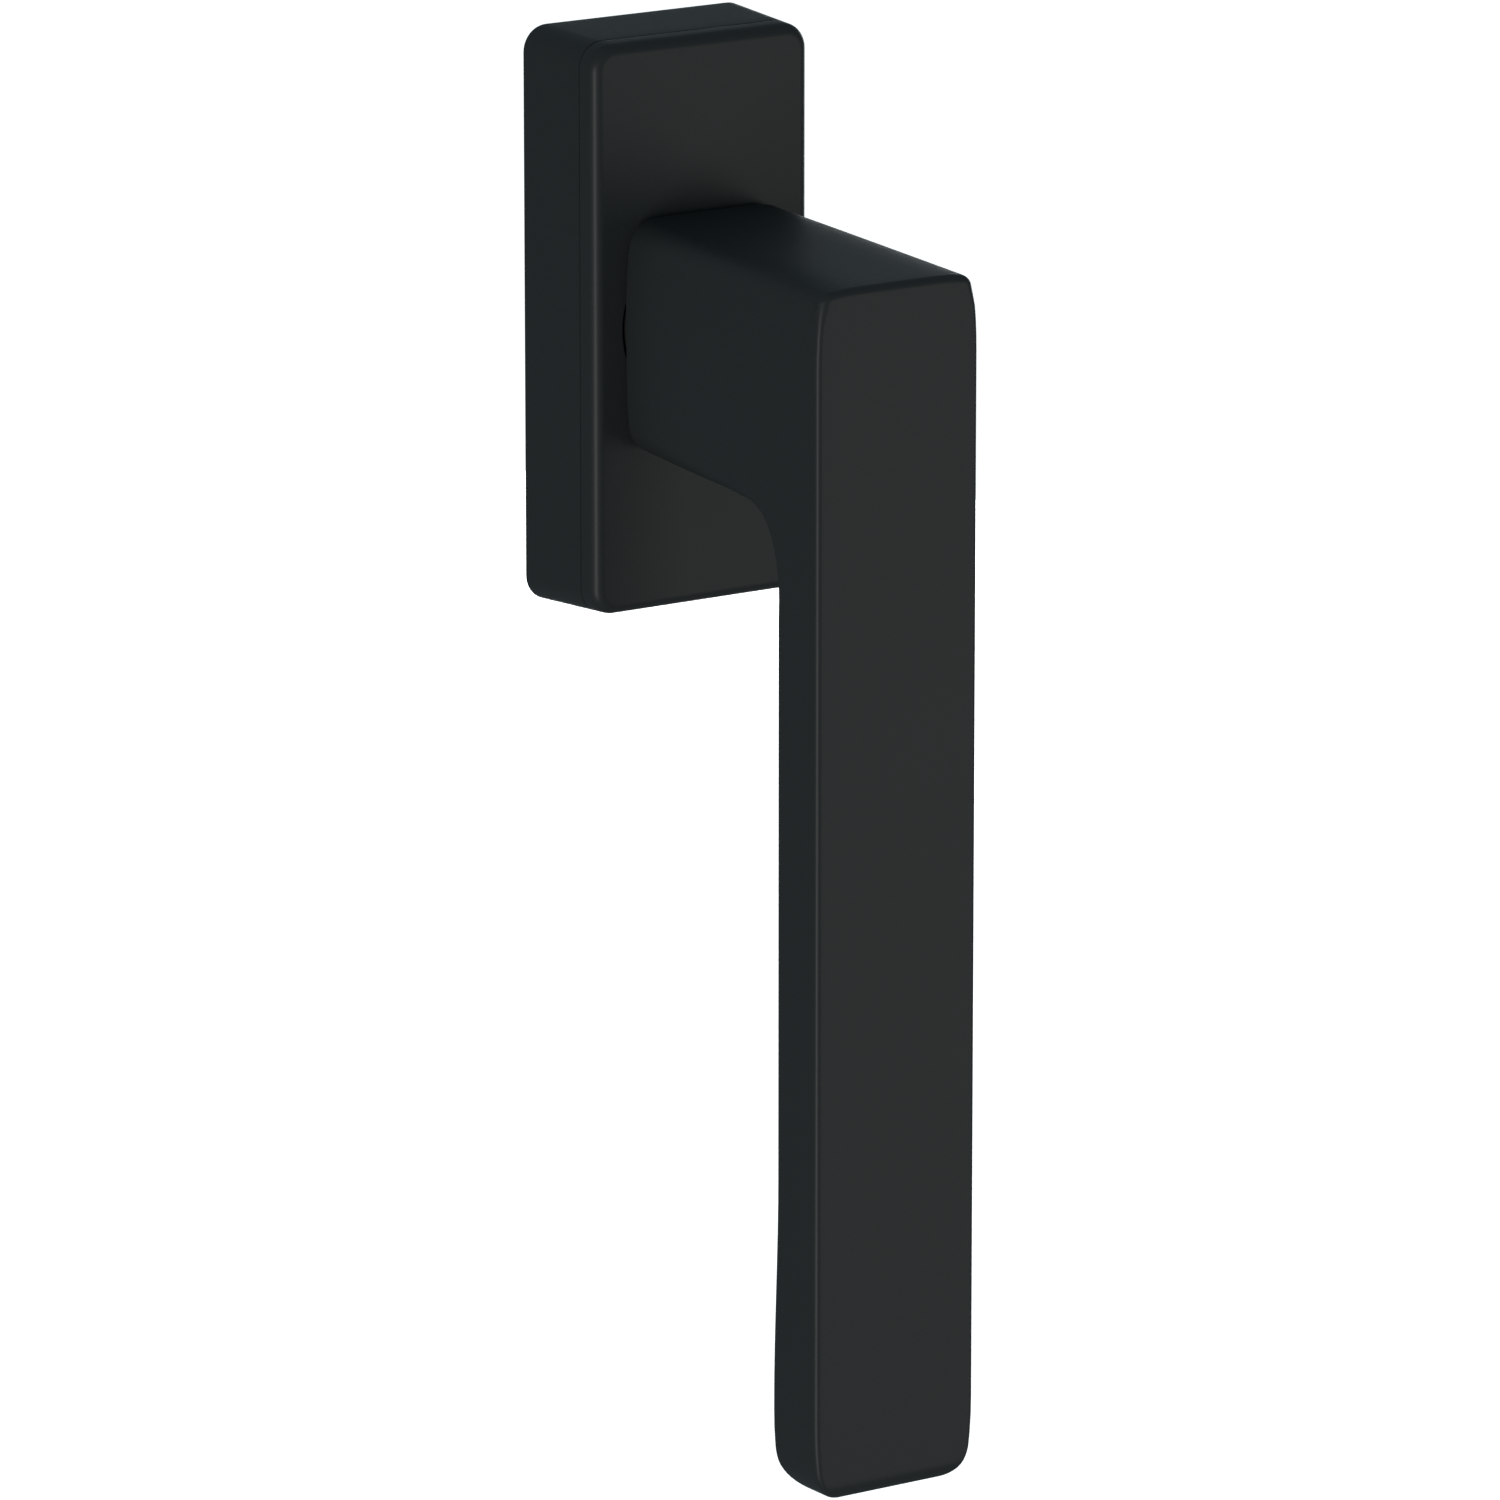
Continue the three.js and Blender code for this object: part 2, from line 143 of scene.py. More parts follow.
class LeverSettings(bpy.types.PropertyGroup):
    """The neck and the grip, which are one casting."""

    gap: length("Gap behind the neck", "Space between the rose cover and the neck", 0.9)
    root_low: length("Neck depth below the axis", "From the spindle axis down to the neck's underside", 14.1)
    neck_drop: length("Neck slope", "How far the underside falls from the root to the blend", 1.1)
    grip_top: length("Grip top", "From the spindle axis up to the grip's top edge", 10.9)
    grip_half: length("Grip half width", "Half the width of the grip", 10.85)
    thick: length("Grip thickness", "Thickness of the grip along its middle", 8.3)
    end_thick: length("End thickness", "Thickness of the grip near its lower end", 9.1)
    swell_from: length("Swell start", "Distance below the axis where the grip starts to thicken", 92)
    swell_to: length("Swell end", "Distance below the axis where the grip is thickest", 118)
    blend_down: length("Blend height", "Height of the hollow curve from neck to grip", 10)
    blend_out: length("Blend reach", "Reach of the hollow curve from neck to grip", 6.2)
    crown: length("Crown radius", "Radius of the edge between the top and the front", 0.9)
    toe: length("Toe radius", "Radius at the grip's lower front edge", 2.0)
    heel: length("Heel radius", "Radius at the grip's lower back edge", 5.0)
    corner: length("End corner radius", "Radius of the grip's lower corners, seen from the front", 3.6)
    root_edge: length("Root edge radius", "Radius of the neck's upper long edges at the rose", 2.4)
    foot_edge: length("Foot edge radius", "Radius of the neck's lower long edges at the rose", 3.4)
    top_edge: length("Top edge radius", "Radius of the neck's upper long edges at the front", 1.5)
    grip_edge: length("Grip edge radius", "Radius of the grip's long edges", 0.7)
    back_edge: length("Back edge radius", "Radius of the long edges on the grip's back", 1.1)
    bow: length("End bow", "How far the sides draw in towards each end", 0.6)
    crest: length("Crest", "How far the top falls towards its two sides", 0.5)
    journal: length("Journal radius", "Radius of the round journal behind the neck", 8)
    groove: length("Groove radius", "Radius at the bottom of the circlip's groove", 7.3)
    groove_back: length("Groove back", "Distance of the groove's near side from the sash", 5.65)
    groove_front: length("Groove front", "Distance of the groove's far side from the sash", 6.75)
    socket: length("Socket half width", "Half the width of the square socket", 3.65)
    pin_hole: length("Pin hole radius", "Radius of the hole that the cross pin sits in", 1.37)


class RoseSettings(bpy.types.PropertyGroup):
    """The rose's body and its front cover."""

    corner: length("Corner radius", "Radius of the rose's corners, seen from the front", 3)
    edge: length("Front edge radius", "Radius of the edge round the front of the cover", 1.3)
    wall: length("Cover wall", "Thickness of the cover", 1.1)
    joint: length("Joint", "Gap left between the cover and the housing", 0.12)
    hole: length("Cover hole radius", "Radius of the hole that the neck's bearing stands in", 10.6)
    collar: length("Collar radius", "Inner radius of the collar that holds the snap ring", 12.6)
    hub: length("Hub radius", "Radius of the hub that the cover turns on", 11.2)
    bore: length("Bore radius", "Radius of the bore that holds the bearing bush", 9.72)
    housing_wall: length("Housing wall", "Thickness of the housing's side walls", 2.2)
    web: length("Housing web", "Thickness of the housing's front", 2.95)
    screw_spacing: length("Screw spacing", "Distance between the two fixing screws", 43)
    boss: length("Boss radius", "Radius of the bosses that the fixing screws pass through", 6)
    lug: length("Lug radius", "Radius of the lugs that locate the rose in the sash", 5)
    post_across: length("Post across", "Distance of the plate screws from the middle, across", 9.4)
    post_up: length("Post up", "Distance of the plate screws from the middle, up and down", 17)


class ScrewSettings(bpy.types.PropertyGroup):
    """The fixing screws and the small plate screws."""

    radius: length("Screw radius", "Radius over the fixing screws' thread", 2.4)
    pitch: length("Thread pitch", "Distance between two turns of the fixing screws' thread", 0.8)
    depth: length("Thread depth", "How deep the fixing screws' thread is cut", 0.42)
    plain: length("Plain shank", "Length of the fixing screws that has no thread", 8)
    small_radius: length("Small screw radius", "Radius over the plate screws' thread", 1)
    small_pitch: length("Small thread pitch", "Distance between two turns of the plate screws' thread", 0.5)
    small_depth: length("Small thread depth", "How deep the plate screws' thread is cut", 0.2)
    sides: IntProperty(name="Sides", description="Sides of a screw", default=40, min=12, max=128)


class HardwareSettings(bpy.types.PropertyGroup):
    """The bearing, retaining and detent pieces."""

    flange: length("Flange depth", "Thickness of the bearing bush's flange", 1.65)
    bush_bore: length("Bush bore", "Inner radius of the bearing bush", 8.15)
    bush_outer: length("Bush outer radius", "Outer radius of the bearing bush's sleeve", 9.6)
    washer_bore: length("Washer bore", "Inner radius of the retaining washer", 8.2)
    wave_bore: length("Wave washer bore", "Inner radius of the wave washer", 8.25)
    wave_thick: length("Wave washer thickness", "Thickness of the wave washer's strip", 0.14)
    waves: IntProperty(name="Waves", description="Waves round the wave washer", default=3, min=2, max=8)
    clip_bore: length("Circlip bore", "Inner radius of the circlip", 7.42)
    clip_outer: length("Circlip outer radius", "Outer radius of the circlip", 9.3)
    snap_bore: length("Snap ring bore", "Inner radius of the cover's snap ring", 11.35)
    snap_slit: length("Snap ring slit", "Half the gap between the snap ring's ends", 1.6)
    cam_corner: length("Cam corner radius", "Radius of the detent cam's rounded corners", 9.3)
    spindle_chamfer: length("Spindle chamfer", "Width of the flat on each edge of the spindle", 0.5)
    spindle_lead: length("Spindle lead", "Length of the taper at the spindle's free end", 0.8)
    plate_corner: length("Plate corner radius", "Radius of the base plate's corners", 2)
    spindle_hole: length("Plate hole radius", "Radius of the base plate's hole for the spindle", 6)


class StageSettings(bpy.types.PropertyGroup):
    """The floor, the light and the camera."""

    floor: colour("Floor colour", "Colour of the floor", (0.86, 0.86, 0.86))
    glow: share("Floor glow", "How strongly the floor shines of its own", 0.80)
    drop: length("Floor drop", "How far the floor lies below the handle", 95)
    low_light: share("Low light", "Brightness of the surroundings from the horizon down", 0.22)
    high_light: share("High light", "Brightness of the surroundings overhead", 0.42)
    tint: colour("Light tint", "Colour of the surroundings", (0.74, 0.93, 1.0))
    key: power("Key light", "Power of the wide light at the front right", 1.9)
    key_azimuth: angle("Key azimuth", "Where the key light stands round the handle", 38)
    rim: power("Rim light", "Power of the narrow light that draws the long edges", 6.4)
    rim_azimuth: angle("Rim azimuth", "Where the rim light stands round the handle", -56)
    fill_light: power("Fill light", "Power of the wide light behind on the right", 6)
    fill_azimuth: angle("Fill azimuth", "Where the fill light stands round the handle", 130)
    reach: length("Light distance", "Distance of the lights from the handle", 900)
    low: angle("Light height", "How far the lights stand above the handle", -12)
    azimuth: angle("Azimuth", "Where the camera stands round the handle", -34)
    elevation: angle("Elevation", "How far the camera looks down", 14)
    lens: FloatProperty(name="Lens", description="Focal length in millimetres", default=260, min=20)
    fill: share("Fill", "Share of the view's height that the handle takes", 0.997)


class HandleSettings(bpy.types.PropertyGroup):
    """All the settings of the window handle."""

    coat: PointerProperty(type=CoatSettings)
    metal: PointerProperty(type=MetalSettings)
    lever: PointerProperty(type=LeverSettings)
    rose: PointerProperty(type=RoseSettings)
    screw: PointerProperty(type=ScrewSettings)
    hardware: PointerProperty(type=HardwareSettings)
    stage: PointerProperty(type=StageSettings)


# ---------------------------------------------------------------- node trees written as expressions

def overload(operation, reflected=False):
    """A method that adds a Math node with the wire and another value, in either order."""
    def method(wire, other):
        return wire.math(operation, *((other, wire) if reflected else (wire, other)))
    return method


class Wire:
    """A node's output that can be used in arithmetic: each operation adds its Math node."""

    def __init__(self, tree, socket):
        self.tree = tree
        self.socket = socket

    def math(self, operation, *values, **settings):
        return self.tree.add("ShaderNodeMath", dict(enumerate(values)), operation=operation, **settings)

    __add__, __radd__ = overload("ADD"), overload("ADD", reflected=True)
    __sub__, __rsub__ = overload("SUBTRACT"), overload("SUBTRACT", reflected=True)
    __mul__, __rmul__ = overload("MULTIPLY"), overload("MULTIPLY", reflected=True)
    __truediv__ = overload("DIVIDE")
    __gt__, __lt__ = overload("GREATER_THAN"), overload("LESS_THAN")

    def low(self, other):
        return self.math("MINIMUM", self, other)

    def high(self, other):
        return self.math("MAXIMUM", self, other)

    def unit(self):
        """The value, held between 0 and 1."""
        return self.math("ADD", self, 0.0, use_clamp=True)


class Tree:
    """A shader or geometry tree that nodes are added to in one way."""

    def __init__(self, tree):
        self.tree = tree

    def add(self, kind, inputs=None, output=0, **settings):
        """Adds a node: settings first, then its sockets' values or links. Gives one of its outputs."""
        node = self.tree.nodes.new(kind)
        for name, value in settings.items():
            setattr(node, name, value)
        for key, value in (inputs or {}).items():
            socket = find_socket(node.inputs, key)
            for wire in value if isinstance(value, list) else [value]:
                if isinstance(wire, Wire):
                    self.tree.links.new(wire.socket, socket)
                else:
                    socket.default_value = wire
        return Wire(self, find_socket(node.outputs, output)) if node.outputs else node


def find_socket(sockets, key):
    """A socket by its number, its identifier or its name."""
    if isinstance(key, int):
        return sockets[key]
    return next((socket for socket in sockets if socket.identifier == key), None) or sockets[key]


def rgba(shade):
    return (*shade, 1)


def surface(name):
    """A new material, with an empty tree."""
    material = bpy.data.materials.new(name)
    material.use_nodes = True
    material.node_tree.nodes.clear()
    return material, Tree(material.node_tree)


def speckle(tree, size, detail=2.0, stretch=(1, 1, 1)):
    """Noise with features of one size, in metres, fixed to the piece. Gives a value about one half."""
    place = tree.add("ShaderNodeTexCoord", output="Object")
    mapped = tree.add("ShaderNodeMapping", {"Vector": place, "Scale": stretch})
    return tree.add("ShaderNodeTexNoise", {"Vector": mapped, "Scale": 1 / size, "Detail": detail})


def shade_out(tree, inputs):
    shader = tree.add("ShaderNodeBsdfPrincipled", inputs)
    tree.add("ShaderNodeOutputMaterial", {"Surface": shader})


def varied(tree, shade, spread, wave):
    """A colour that moves a little darker and lighter with a wave."""
    dark = rgba([value * (1 - spread) for value in shade])
    light = rgba([min(1, value * (1 + spread)) for value in shade])
    tones = {"Factor_Float": wave, "A_Color": dark, "B_Color": light}
    return tree.add("ShaderNodeMix", tones, "Result_Color", data_type="RGBA")


# how much each finish's texture stands out
COAT_BUMP = {"Strength": 0.22, "Distance": 0.06 * MM}
METAL_BUMP = {"Strength": 0.25, "Distance": 0.03 * MM}
MOULD_BUMP = {"Strength": 0.3, "Distance": 0.04 * MM}
STREAK, TOOTH = 1.2 * MM, 0.3 * MM  # width of a drawn streak and of the finest marks on metal
MOULD_GRAIN, MOULD_CLOUD = 0.4 * MM, 6 * MM  # size of the mouldings' grain and of their soft clouds


def powder_coat(settings):
    """Matt black powder coat: a fine even grain over soft ripples."""
    material, tree = surface("black_powder_coat")
    grain = speckle(tree, settings.grain * 2, detail=3.0)
    peel = speckle(tree, settings.peel * 2, detail=1.0)
    cloud = speckle(tree, settings.peel * 16, detail=2.0)
    height = grain * 0.65 + peel * 0.35
    normal = tree.add("ShaderNodeBump", {**COAT_BUMP, "Height": height})
    shade_out(tree, {
        "Base Color": varied(tree, settings.colour, 0.16, grain * 0.6 + cloud * 0.4),
        "Roughness": settings.roughness - 0.06 + grain * 0.09 + cloud * 0.03,
        "Specular IOR Level": settings.reflection,
        "Coat Weight": settings.sheen,
        "Coat Roughness": settings.sheen_roughness,
        "Normal": normal,
    })
    return material


def plated(name, shade, gloss, cloud_size):
    """Plated or rolled metal: drawn streaks, soft clouds and a fine tooth."""
    material, tree = surface(name)
    streak = speckle(tree, STREAK, detail=3.0, stretch=(1, 0.08, 1))
    cloud = speckle(tree, cloud_size, detail=2.0)
    tooth = speckle(tree, TOOTH, detail=2.0)
    normal = tree.add("ShaderNodeBump", {**METAL_BUMP, "Height": streak * 0.5 + tooth * 0.5})
    shade_out(tree, {
        "Base Color": varied(tree, shade, 0.18, cloud * 0.7 + streak * 0.3),
        "Metallic": 1.0,
        "Roughness": gloss + streak * 0.10 + cloud * 0.12,
        "Normal": normal,
    })
    return material


def moulded(name, shade):
    """Moulded polyamide with a fine spark-eroded grain."""
    material, tree = surface(name)
    grain = speckle(tree, MOULD_GRAIN, detail=3.0)
    cloud = speckle(tree, MOULD_CLOUD, detail=2.0)
    normal = tree.add("ShaderNodeBump", {**MOULD_BUMP, "Height": grain})
    shade_out(tree, {
        "Base Color": varied(tree, shade, 0.10, grain * 0.5 + cloud * 0.5),
        "Roughness": 0.46 + grain * 0.14,
        "Specular IOR Level": 0.4,
        "Normal": normal,
    })
    return material


def finishes():
    """Every finish by the record's material slot, made once."""
    made = bpy.context.scene.window_handle
    if "black_powder_coat" not in bpy.data.materials:
        powder_coat(made.coat)
        plated("zinc_plate", made.metal.zinc, gloss=0.42, cloud_size=5 * MM)
        plated("bright_steel", made.metal.steel, gloss=0.18, cloud_size=4 * MM)
        plated("hardened_spring_steel", made.metal.spring, gloss=0.22, cloud_size=3 * MM)
        moulded("black_polyamide", made.metal.bush)
        moulded("pale_polyamide", made.metal.cam)
    stored = bpy.data.materials
    return {
        "black_coat": stored["black_powder_coat"],
        "zinc_plated_steel": stored["zinc_plate"],
        "bright_steel": stored["bright_steel"],
        "spring_steel": stored["hardened_spring_steel"],
        "dark_polyamide": stored["black_polyamide"],
        "pale_polyamide": stored["pale_polyamide"],
    }


# ---------------------------------------------------------------- meshes

def at(across, up, out):
    """A point from its place across, up and out from the sash."""
    return Vector((across, -out, up))


def skin(rings, closed=False):
    """Points and faces of a skin through rings of equal length, closed on itself or with flat ends."""
    count = len(rings[0])
    points = [point for ring in rings for point in ring]
    last = len(rings) if closed else len(rings) - 1
    faces = []
    for k in range(last):
        here, there = k * count, ((k + 1) % len(rings)) * count
        for i in range(count):
            j = (i + 1) % count
            faces.append((here + i, here + j, there + j, there + i))
    if not closed:
        faces.append(tuple(reversed(range(count))))
        faces.append(tuple(range((len(rings) - 1) * count, len(rings) * count)))
    return points, faces


def new_object(name, points, faces, crease=CREASE):
    """A welded mesh object with its faces turned outwards, smooth but for edges sharper than the crease."""
    mesh = bpy.data.meshes.new(name)
    mesh.from_pydata([tuple(point) for point in points], [], faces)
    work = bmesh.new()
    work.from_mesh(mesh)
    bmesh.ops.remove_doubles(work, verts=work.verts, dist=1e-7)
    bmesh.ops.recalc_face_normals(work, faces=work.faces)
    work.to_mesh(mesh)
    work.free()
    thing = bpy.data.objects.new(name, mesh)
    bpy.context.scene.collection.objects.link(thing)
    smooth(thing, crease)
    return thing


def smooth(thing, crease):
    thing.data.shade_smooth()
    thing.data.set_sharp_from_angle(angle=crease)


def settle(thing):
    """Makes the object's modifiers part of its mesh."""
    graph = bpy.context.evaluated_depsgraph_get()
    mesh = bpy.data.meshes.new_from_object(thing.evaluated_get(graph))
    thing.modifiers.clear()
    thing.data = mesh


def even_normals(thing):
    """Keeps broad faces flat where they meet a rounded edge."""
    weigh = thing.modifiers.new("Even normals", "WEIGHTED_NORMAL")
    weigh.keep_sharp = True
    weigh.weight = 60
    settle(thing)


def cut(thing, tool, operation="DIFFERENCE"):
    """Cuts or joins with a second object, which is used up."""
    knife = thing.modifiers.new("Cut", "BOOLEAN")
    knife.operation = operation
    knife.solver = "EXACT"
    knife.object = tool
    settle(thing)
    bpy.data.objects.remove(tool)


def break_edges(thing, width, sharper=math.radians(40), segments=2):
    """A small round on every sharp edge."""
    bevel = thing.modifiers.new("Edges", "BEVEL")
    bevel.width = width
    bevel.segments = segments
    bevel.limit_method = "ANGLE"
    bevel.angle_limit = sharper
    bevel.use_clamp_overlap = True
    bevel.harden_normals = False
    settle(thing)
    smooth(thing, CREASE)


def finish_piece(thing, slot, body, *nodes):
    """Gives a finished piece its finish, its body and the CAD nodes that it stands for."""
    thing.data.materials.clear()
    thing.data.materials.append(finishes()[slot])
    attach(thing, body)
    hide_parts(*nodes)


def brick(across, up, out):
    """A plain block that other pieces are cut or joined with."""
    corners = ((0, 0), (1, 0), (1, 1), (0, 1))
    rings = [[at(across[i], up[j], spot) for i, j in corners] for spot in out]
    return new_object("block", *skin(rings))


def cross_rod(radius, half_length, out, edge=0.0, sides=48):
    """A round rod from side to side across the spindle axis."""
    turns = [2 * math.pi * i / sides for i in range(sides)]
    rings = []
    for across, around in (
        (-half_length, radius - edge), (-half_length + edge, radius), (half_length - edge, radius),
        (half_length, radius - edge),
    ):
        rings.append([at(across, around * math.cos(a), out + around * math.sin(a)) for a in turns])
    return new_object("rod", *skin(rings))


def turned(name, profile, sides=72, centre=(0.0, 0.0), closed=True):
    """A piece turned about a line that runs out from the sash, from a profile of (radius, out) points."""
    angles = [2 * math.pi * i / sides for i in range(sides)]
    across, up = centre
    rings = [
        [at(across + radius * math.cos(a), up + radius * math.sin(a), out) for a in angles]
        for radius, out in profile
    ]
    return new_object(name, *skin(rings, closed))


# ---------------------------------------------------------------- the rose

CORNER_STEPS = 10
RUN_STEPS = {"side": 34, "end": 12}
LEAST_CORNER = 0.4 * MM  # the corners of an inner ring stay at least this round

# the posts that the plate screws are driven into: their radius, their gap to the plate and their pilot hole
POST_RADIUS, POST_SEAT = 2.5 * MM, 0.05 * MM
PILOT_RADIUS, PILOT_END = 1.2 * MM, 7 * MM
PILOT_TIP, PILOT_CONE = 0.2 * MM, 0.3 * MM

# the stops beside the springs' feet, across, and for the shelf and the wall the low end, high end and back
STOP_ACROSS = (10.2 * MM, 14 * MM)
STOPS = ((9.8 * MM, 14.6 * MM, 5.1 * MM), (12.9 * MM, 14.6 * MM, 2.6 * MM))

# the fixing screws' heads, a straight rim and a cone, and the ways that they pass through
HEAD_RIM, HEAD_CONE = 0.3 * MM, 2.3 * MM
WAY_RADIUS, HEAD_FIT = 2.75 * MM, 0.35 * MM
HAIR = 0.01 * MM  # keeps a cutting face off the face that it would otherwise lie in


def rose_ring(half_width, half_height, radius, out):
    """A rounded rectangle whose straight runs are divided evenly by angle about the spindle axis."""
    points = []
    turns = [math.pi / 2 * i / CORNER_STEPS for i in range(CORNER_STEPS + 1)]
    corner = [(radius * math.cos(turn), radius * math.sin(turn)) for turn in turns]
    inner_x, inner_y = half_width - radius, half_height - radius
    side_turn = math.atan2(inner_y, half_width)
    end_turn = math.atan2(inner_x, half_height)
    for half in (1, -1):
        for i in range(1, RUN_STEPS["side"]):
            turn = side_turn * (2 * i / RUN_STEPS["side"] - 1)
            points.append(at(half * half_width, half * half_width * math.tan(turn), out))
        points += [at(half * (inner_x + a), half * (inner_y + b), out) for a, b in corner]
        for i in range(1, RUN_STEPS["end"]):
            turn = end_turn * (1 - 2 * i / RUN_STEPS["end"])
            points.append(at(half * half_height * math.tan(turn), half * half_height, out))
        points += [at(-half * (inner_x + b), half * (inner_y + a), out) for a, b in corner]
    return points


def centred_rings(model, *spots):
    """Circles from (radius, out) about the spindle axis, with points in the directions of a model ring's."""
    turns = [math.atan2(point.z, point.x) for point in model]
    return [[at(radius * math.cos(a), radius * math.sin(a), out) for a in turns] for radius, out in spots]


class RoseForm:
    """The rose's outer form, which narrows evenly from the sash to the front."""

    def __init__(self, corner):
        self.corner = corner
        self.back = BODY[1].x, BODY[1].z
        front_of_body = COVER[1].x, COVER[1].z
        self.split = -COVER[1].y
        self.slope = [(a - b) / self.split for a, b in zip(self.back, front_of_body)]

    def ring(self, out, inset=0.0):
        half_width = self.back[0] - self.slope[0] * out - inset
        half_height = self.back[1] - self.slope[1] * out - inset
        return rose_ring(half_width, half_height, max(self.corner - inset, LEAST_CORNER), out)


def quarter_round(radius, steps):
    """(inset, rise) pairs round a quarter circle, from the side to the top."""
    turns = [math.pi / 2 * i / steps for i in range(1, steps + 1)]
    return [(radius * (1 - math.cos(turn)), radius * math.sin(turn)) for turn in turns]


class HANDLE_OT_rose_cover(bpy.types.Operator):
    """Make the rose's front cover, with the collar inside it"""

    bl_idname = "window_handle.rose_cover"
    bl_label = "Rose cover"

    def execute(self, context):
        rose = context.scene.window_handle.rose
        form = RoseForm(rose.corner)
        front, back = -COVER[0].y, -COVER[1].y - SEAM + rose.joint
        roof = front - rose.wall
        lip, chamfer, collar_wall, collar_lift = 0.18 * MM, 0.25 * MM, 0.75 * MM, 0.3 * MM
        collar_back = collar_lift - COVER[1].y
        collar_outer = rose.collar + collar_wall
        rings = [form.ring(back, lip), form.ring(back + 0.3 * lip, 0.3 * lip), form.ring(back + lip)]
        flat = front - rose.edge
        rings += [form.ring(back + (flat - back) * i / 3) for i in (1, 2, 3)]
        rings += [form.ring(flat + rise, inset) for inset, rise in quarter_round(rose.edge, 8)]
        model = rings[-1]
        rings += centred_rings(
            model, (rose.hole + chamfer, front), (rose.hole, front - chamfer), (rose.hole, roof),
            (rose.collar, roof), (rose.collar, collar_back), (collar_outer, collar_back),
            (collar_outer, roof),
        )
        rings += [form.ring(roof, rose.wall), form.ring(back, rose.wall)]
        piece = new_object("rose_cover_shell", *skin(rings, closed=True))
        even_normals(piece)
        finish_piece(piece, "black_coat", "cover", "rose_cover")
        return {"FINISHED"}


class HANDLE_OT_rose_body(bpy.types.Operator):
    """Make the rose's housing, with its hub, its screw bosses and its locating lugs"""

    bl_idname = "window_handle.rose_body"
    bl_label = "Rose body"

    def execute(self, context):
        rose = context.scene.window_handle.rose
        form = RoseForm(rose.corner)
        hub_front = -BODY[0].y
        front = -COVER[1].y - SEAM
        web_back = front - rose.web
        edge = 0.2 * MM
        rings = [form.ring(0, edge), form.ring(0.3 * edge, 0.3 * edge), form.ring(edge)]
        rings += [form.ring(edge + (front - 2 * edge) * i / 6) for i in range(1, 7)]
        rings += [form.ring(front - 0.3 * edge, 0.3 * edge), form.ring(front, edge)]
        model = rings[-1]
        rings += centred_rings(
            model, (rose.hub, front), (rose.hub, hub_front - edge), (rose.hub - edge, hub_front),
            (rose.bore + edge, hub_front), (rose.bore, hub_front - edge), (rose.bore, web_back),
        )
        rings += [form.ring(web_back, rose.housing_wall), form.ring(0, rose.housing_wall)]
        piece = new_object("rose_housing", *skin(rings, closed=True))
        self.inner_posts(piece, rose, web_back)
        self.screw_ways(piece, rose, front, web_back, edge)
        smooth(piece, CREASE)
        even_normals(piece)
        finish_piece(piece, "black_coat", "rose", "rose_body")
        return {"FINISHED"}

    def inner_posts(self, piece, rose, web_back):
        """Posts for the plate screws and stops that hold the detent springs' feet."""
        post_end = -PLATE[0].y + POST_SEAT
        for x, z in PLATE_SPOTS:
            post = turned("post", [
                (POST_RADIUS, web_back + SINK), (POST_RADIUS, post_end), (PILOT_RADIUS, post_end),
                (PILOT_RADIUS, PILOT_END), (PILOT_TIP, web_back - PILOT_CONE), (PILOT_TIP, web_back + SINK),
            ], sides=40, centre=(x * rose.post_across, z * rose.post_up))
            cut(piece, post, "UNION")
            for low, high, back in STOPS:
                across = [x * reach for reach in STOP_ACROSS]
                cut(piece, brick(across, (z * low, z * high), (back, web_back + SINK)), "UNION")

    def screw_ways(self, piece, rose, front, web_back, edge):
        """Bosses and locating lugs with the countersunk ways of the fixing screws through them."""
        head = (SCREW[1].x - SCREW[0].x) / 2 + HEAD_FIT
        top = -SCREW[0].y
        lug_end = -BODY[1].y
        for side in (1, -1):
            centre = (0.0, side * rose.screw_spacing / 2)
            boss = turned("boss", [
                (rose.lug - edge, lug_end), (rose.lug, lug_end + edge), (rose.lug, 0.0),
                (rose.boss - edge, 0.0), (rose.boss, edge), (rose.boss, web_back + SINK),
            ], sides=64, centre=centre, closed=False)
            cut(piece, boss, "UNION")
            way = turned("screw_way", [
                (WAY_RADIUS + edge, lug_end - HAIR), (WAY_RADIUS, lug_end + edge),
                (WAY_RADIUS, top - HEAD_RIM - HEAD_CONE), (head, top - HEAD_RIM), (head, front + PAST),
            ], sides=64, centre=centre, closed=False)
            cut(piece, way)


# ---------------------------------------------------------------- the lever

class Rung:
    """One crosswise line of the lever, from its inner side to its outer side, in (out, up)."""

    def __init__(self, inner, outer, inner_way, outer_way, half, inner_edge, outer_edge):
        self.inner, self.outer = Vector(inner), Vector(outer)
        self.inner_way, self.outer_way = Vector(inner_way).normalized(), Vector(outer_way).normalized()
        self.half, self.inner_edge, self.outer_edge = half, inner_edge, outer_edge

    def shrunk(self, by):
        """The same rung, drawn in by one amount on every side."""
        return Rung(
            self.inner + self.inner_way * by, self.outer + self.outer_way * by,
            self.inner_way, self.outer_way, self.half - by, self.inner_edge, self.outer_edge,
        )


FACE_STEPS, EDGE_STEPS, FLANK_STEPS = 8, 6, 12
BLEND_PULL = 0.6  # how strongly the hollow curve holds to its two ends, as a share of its size
CROWN_FALL = 4 * MM  # height below the top corners in which the front's edges tighten
NECK_END, CREST_START, FADE = 6 * MM, 2 * MM, 8 * MM  # where two of the shapings fade, and over what length
DRAW = 9 * MM  # length over which the sides draw in towards an end
DRAW_END, DRAW_MOST = 1.6, 1.6  # how much more they do so at the grip's end, and at most


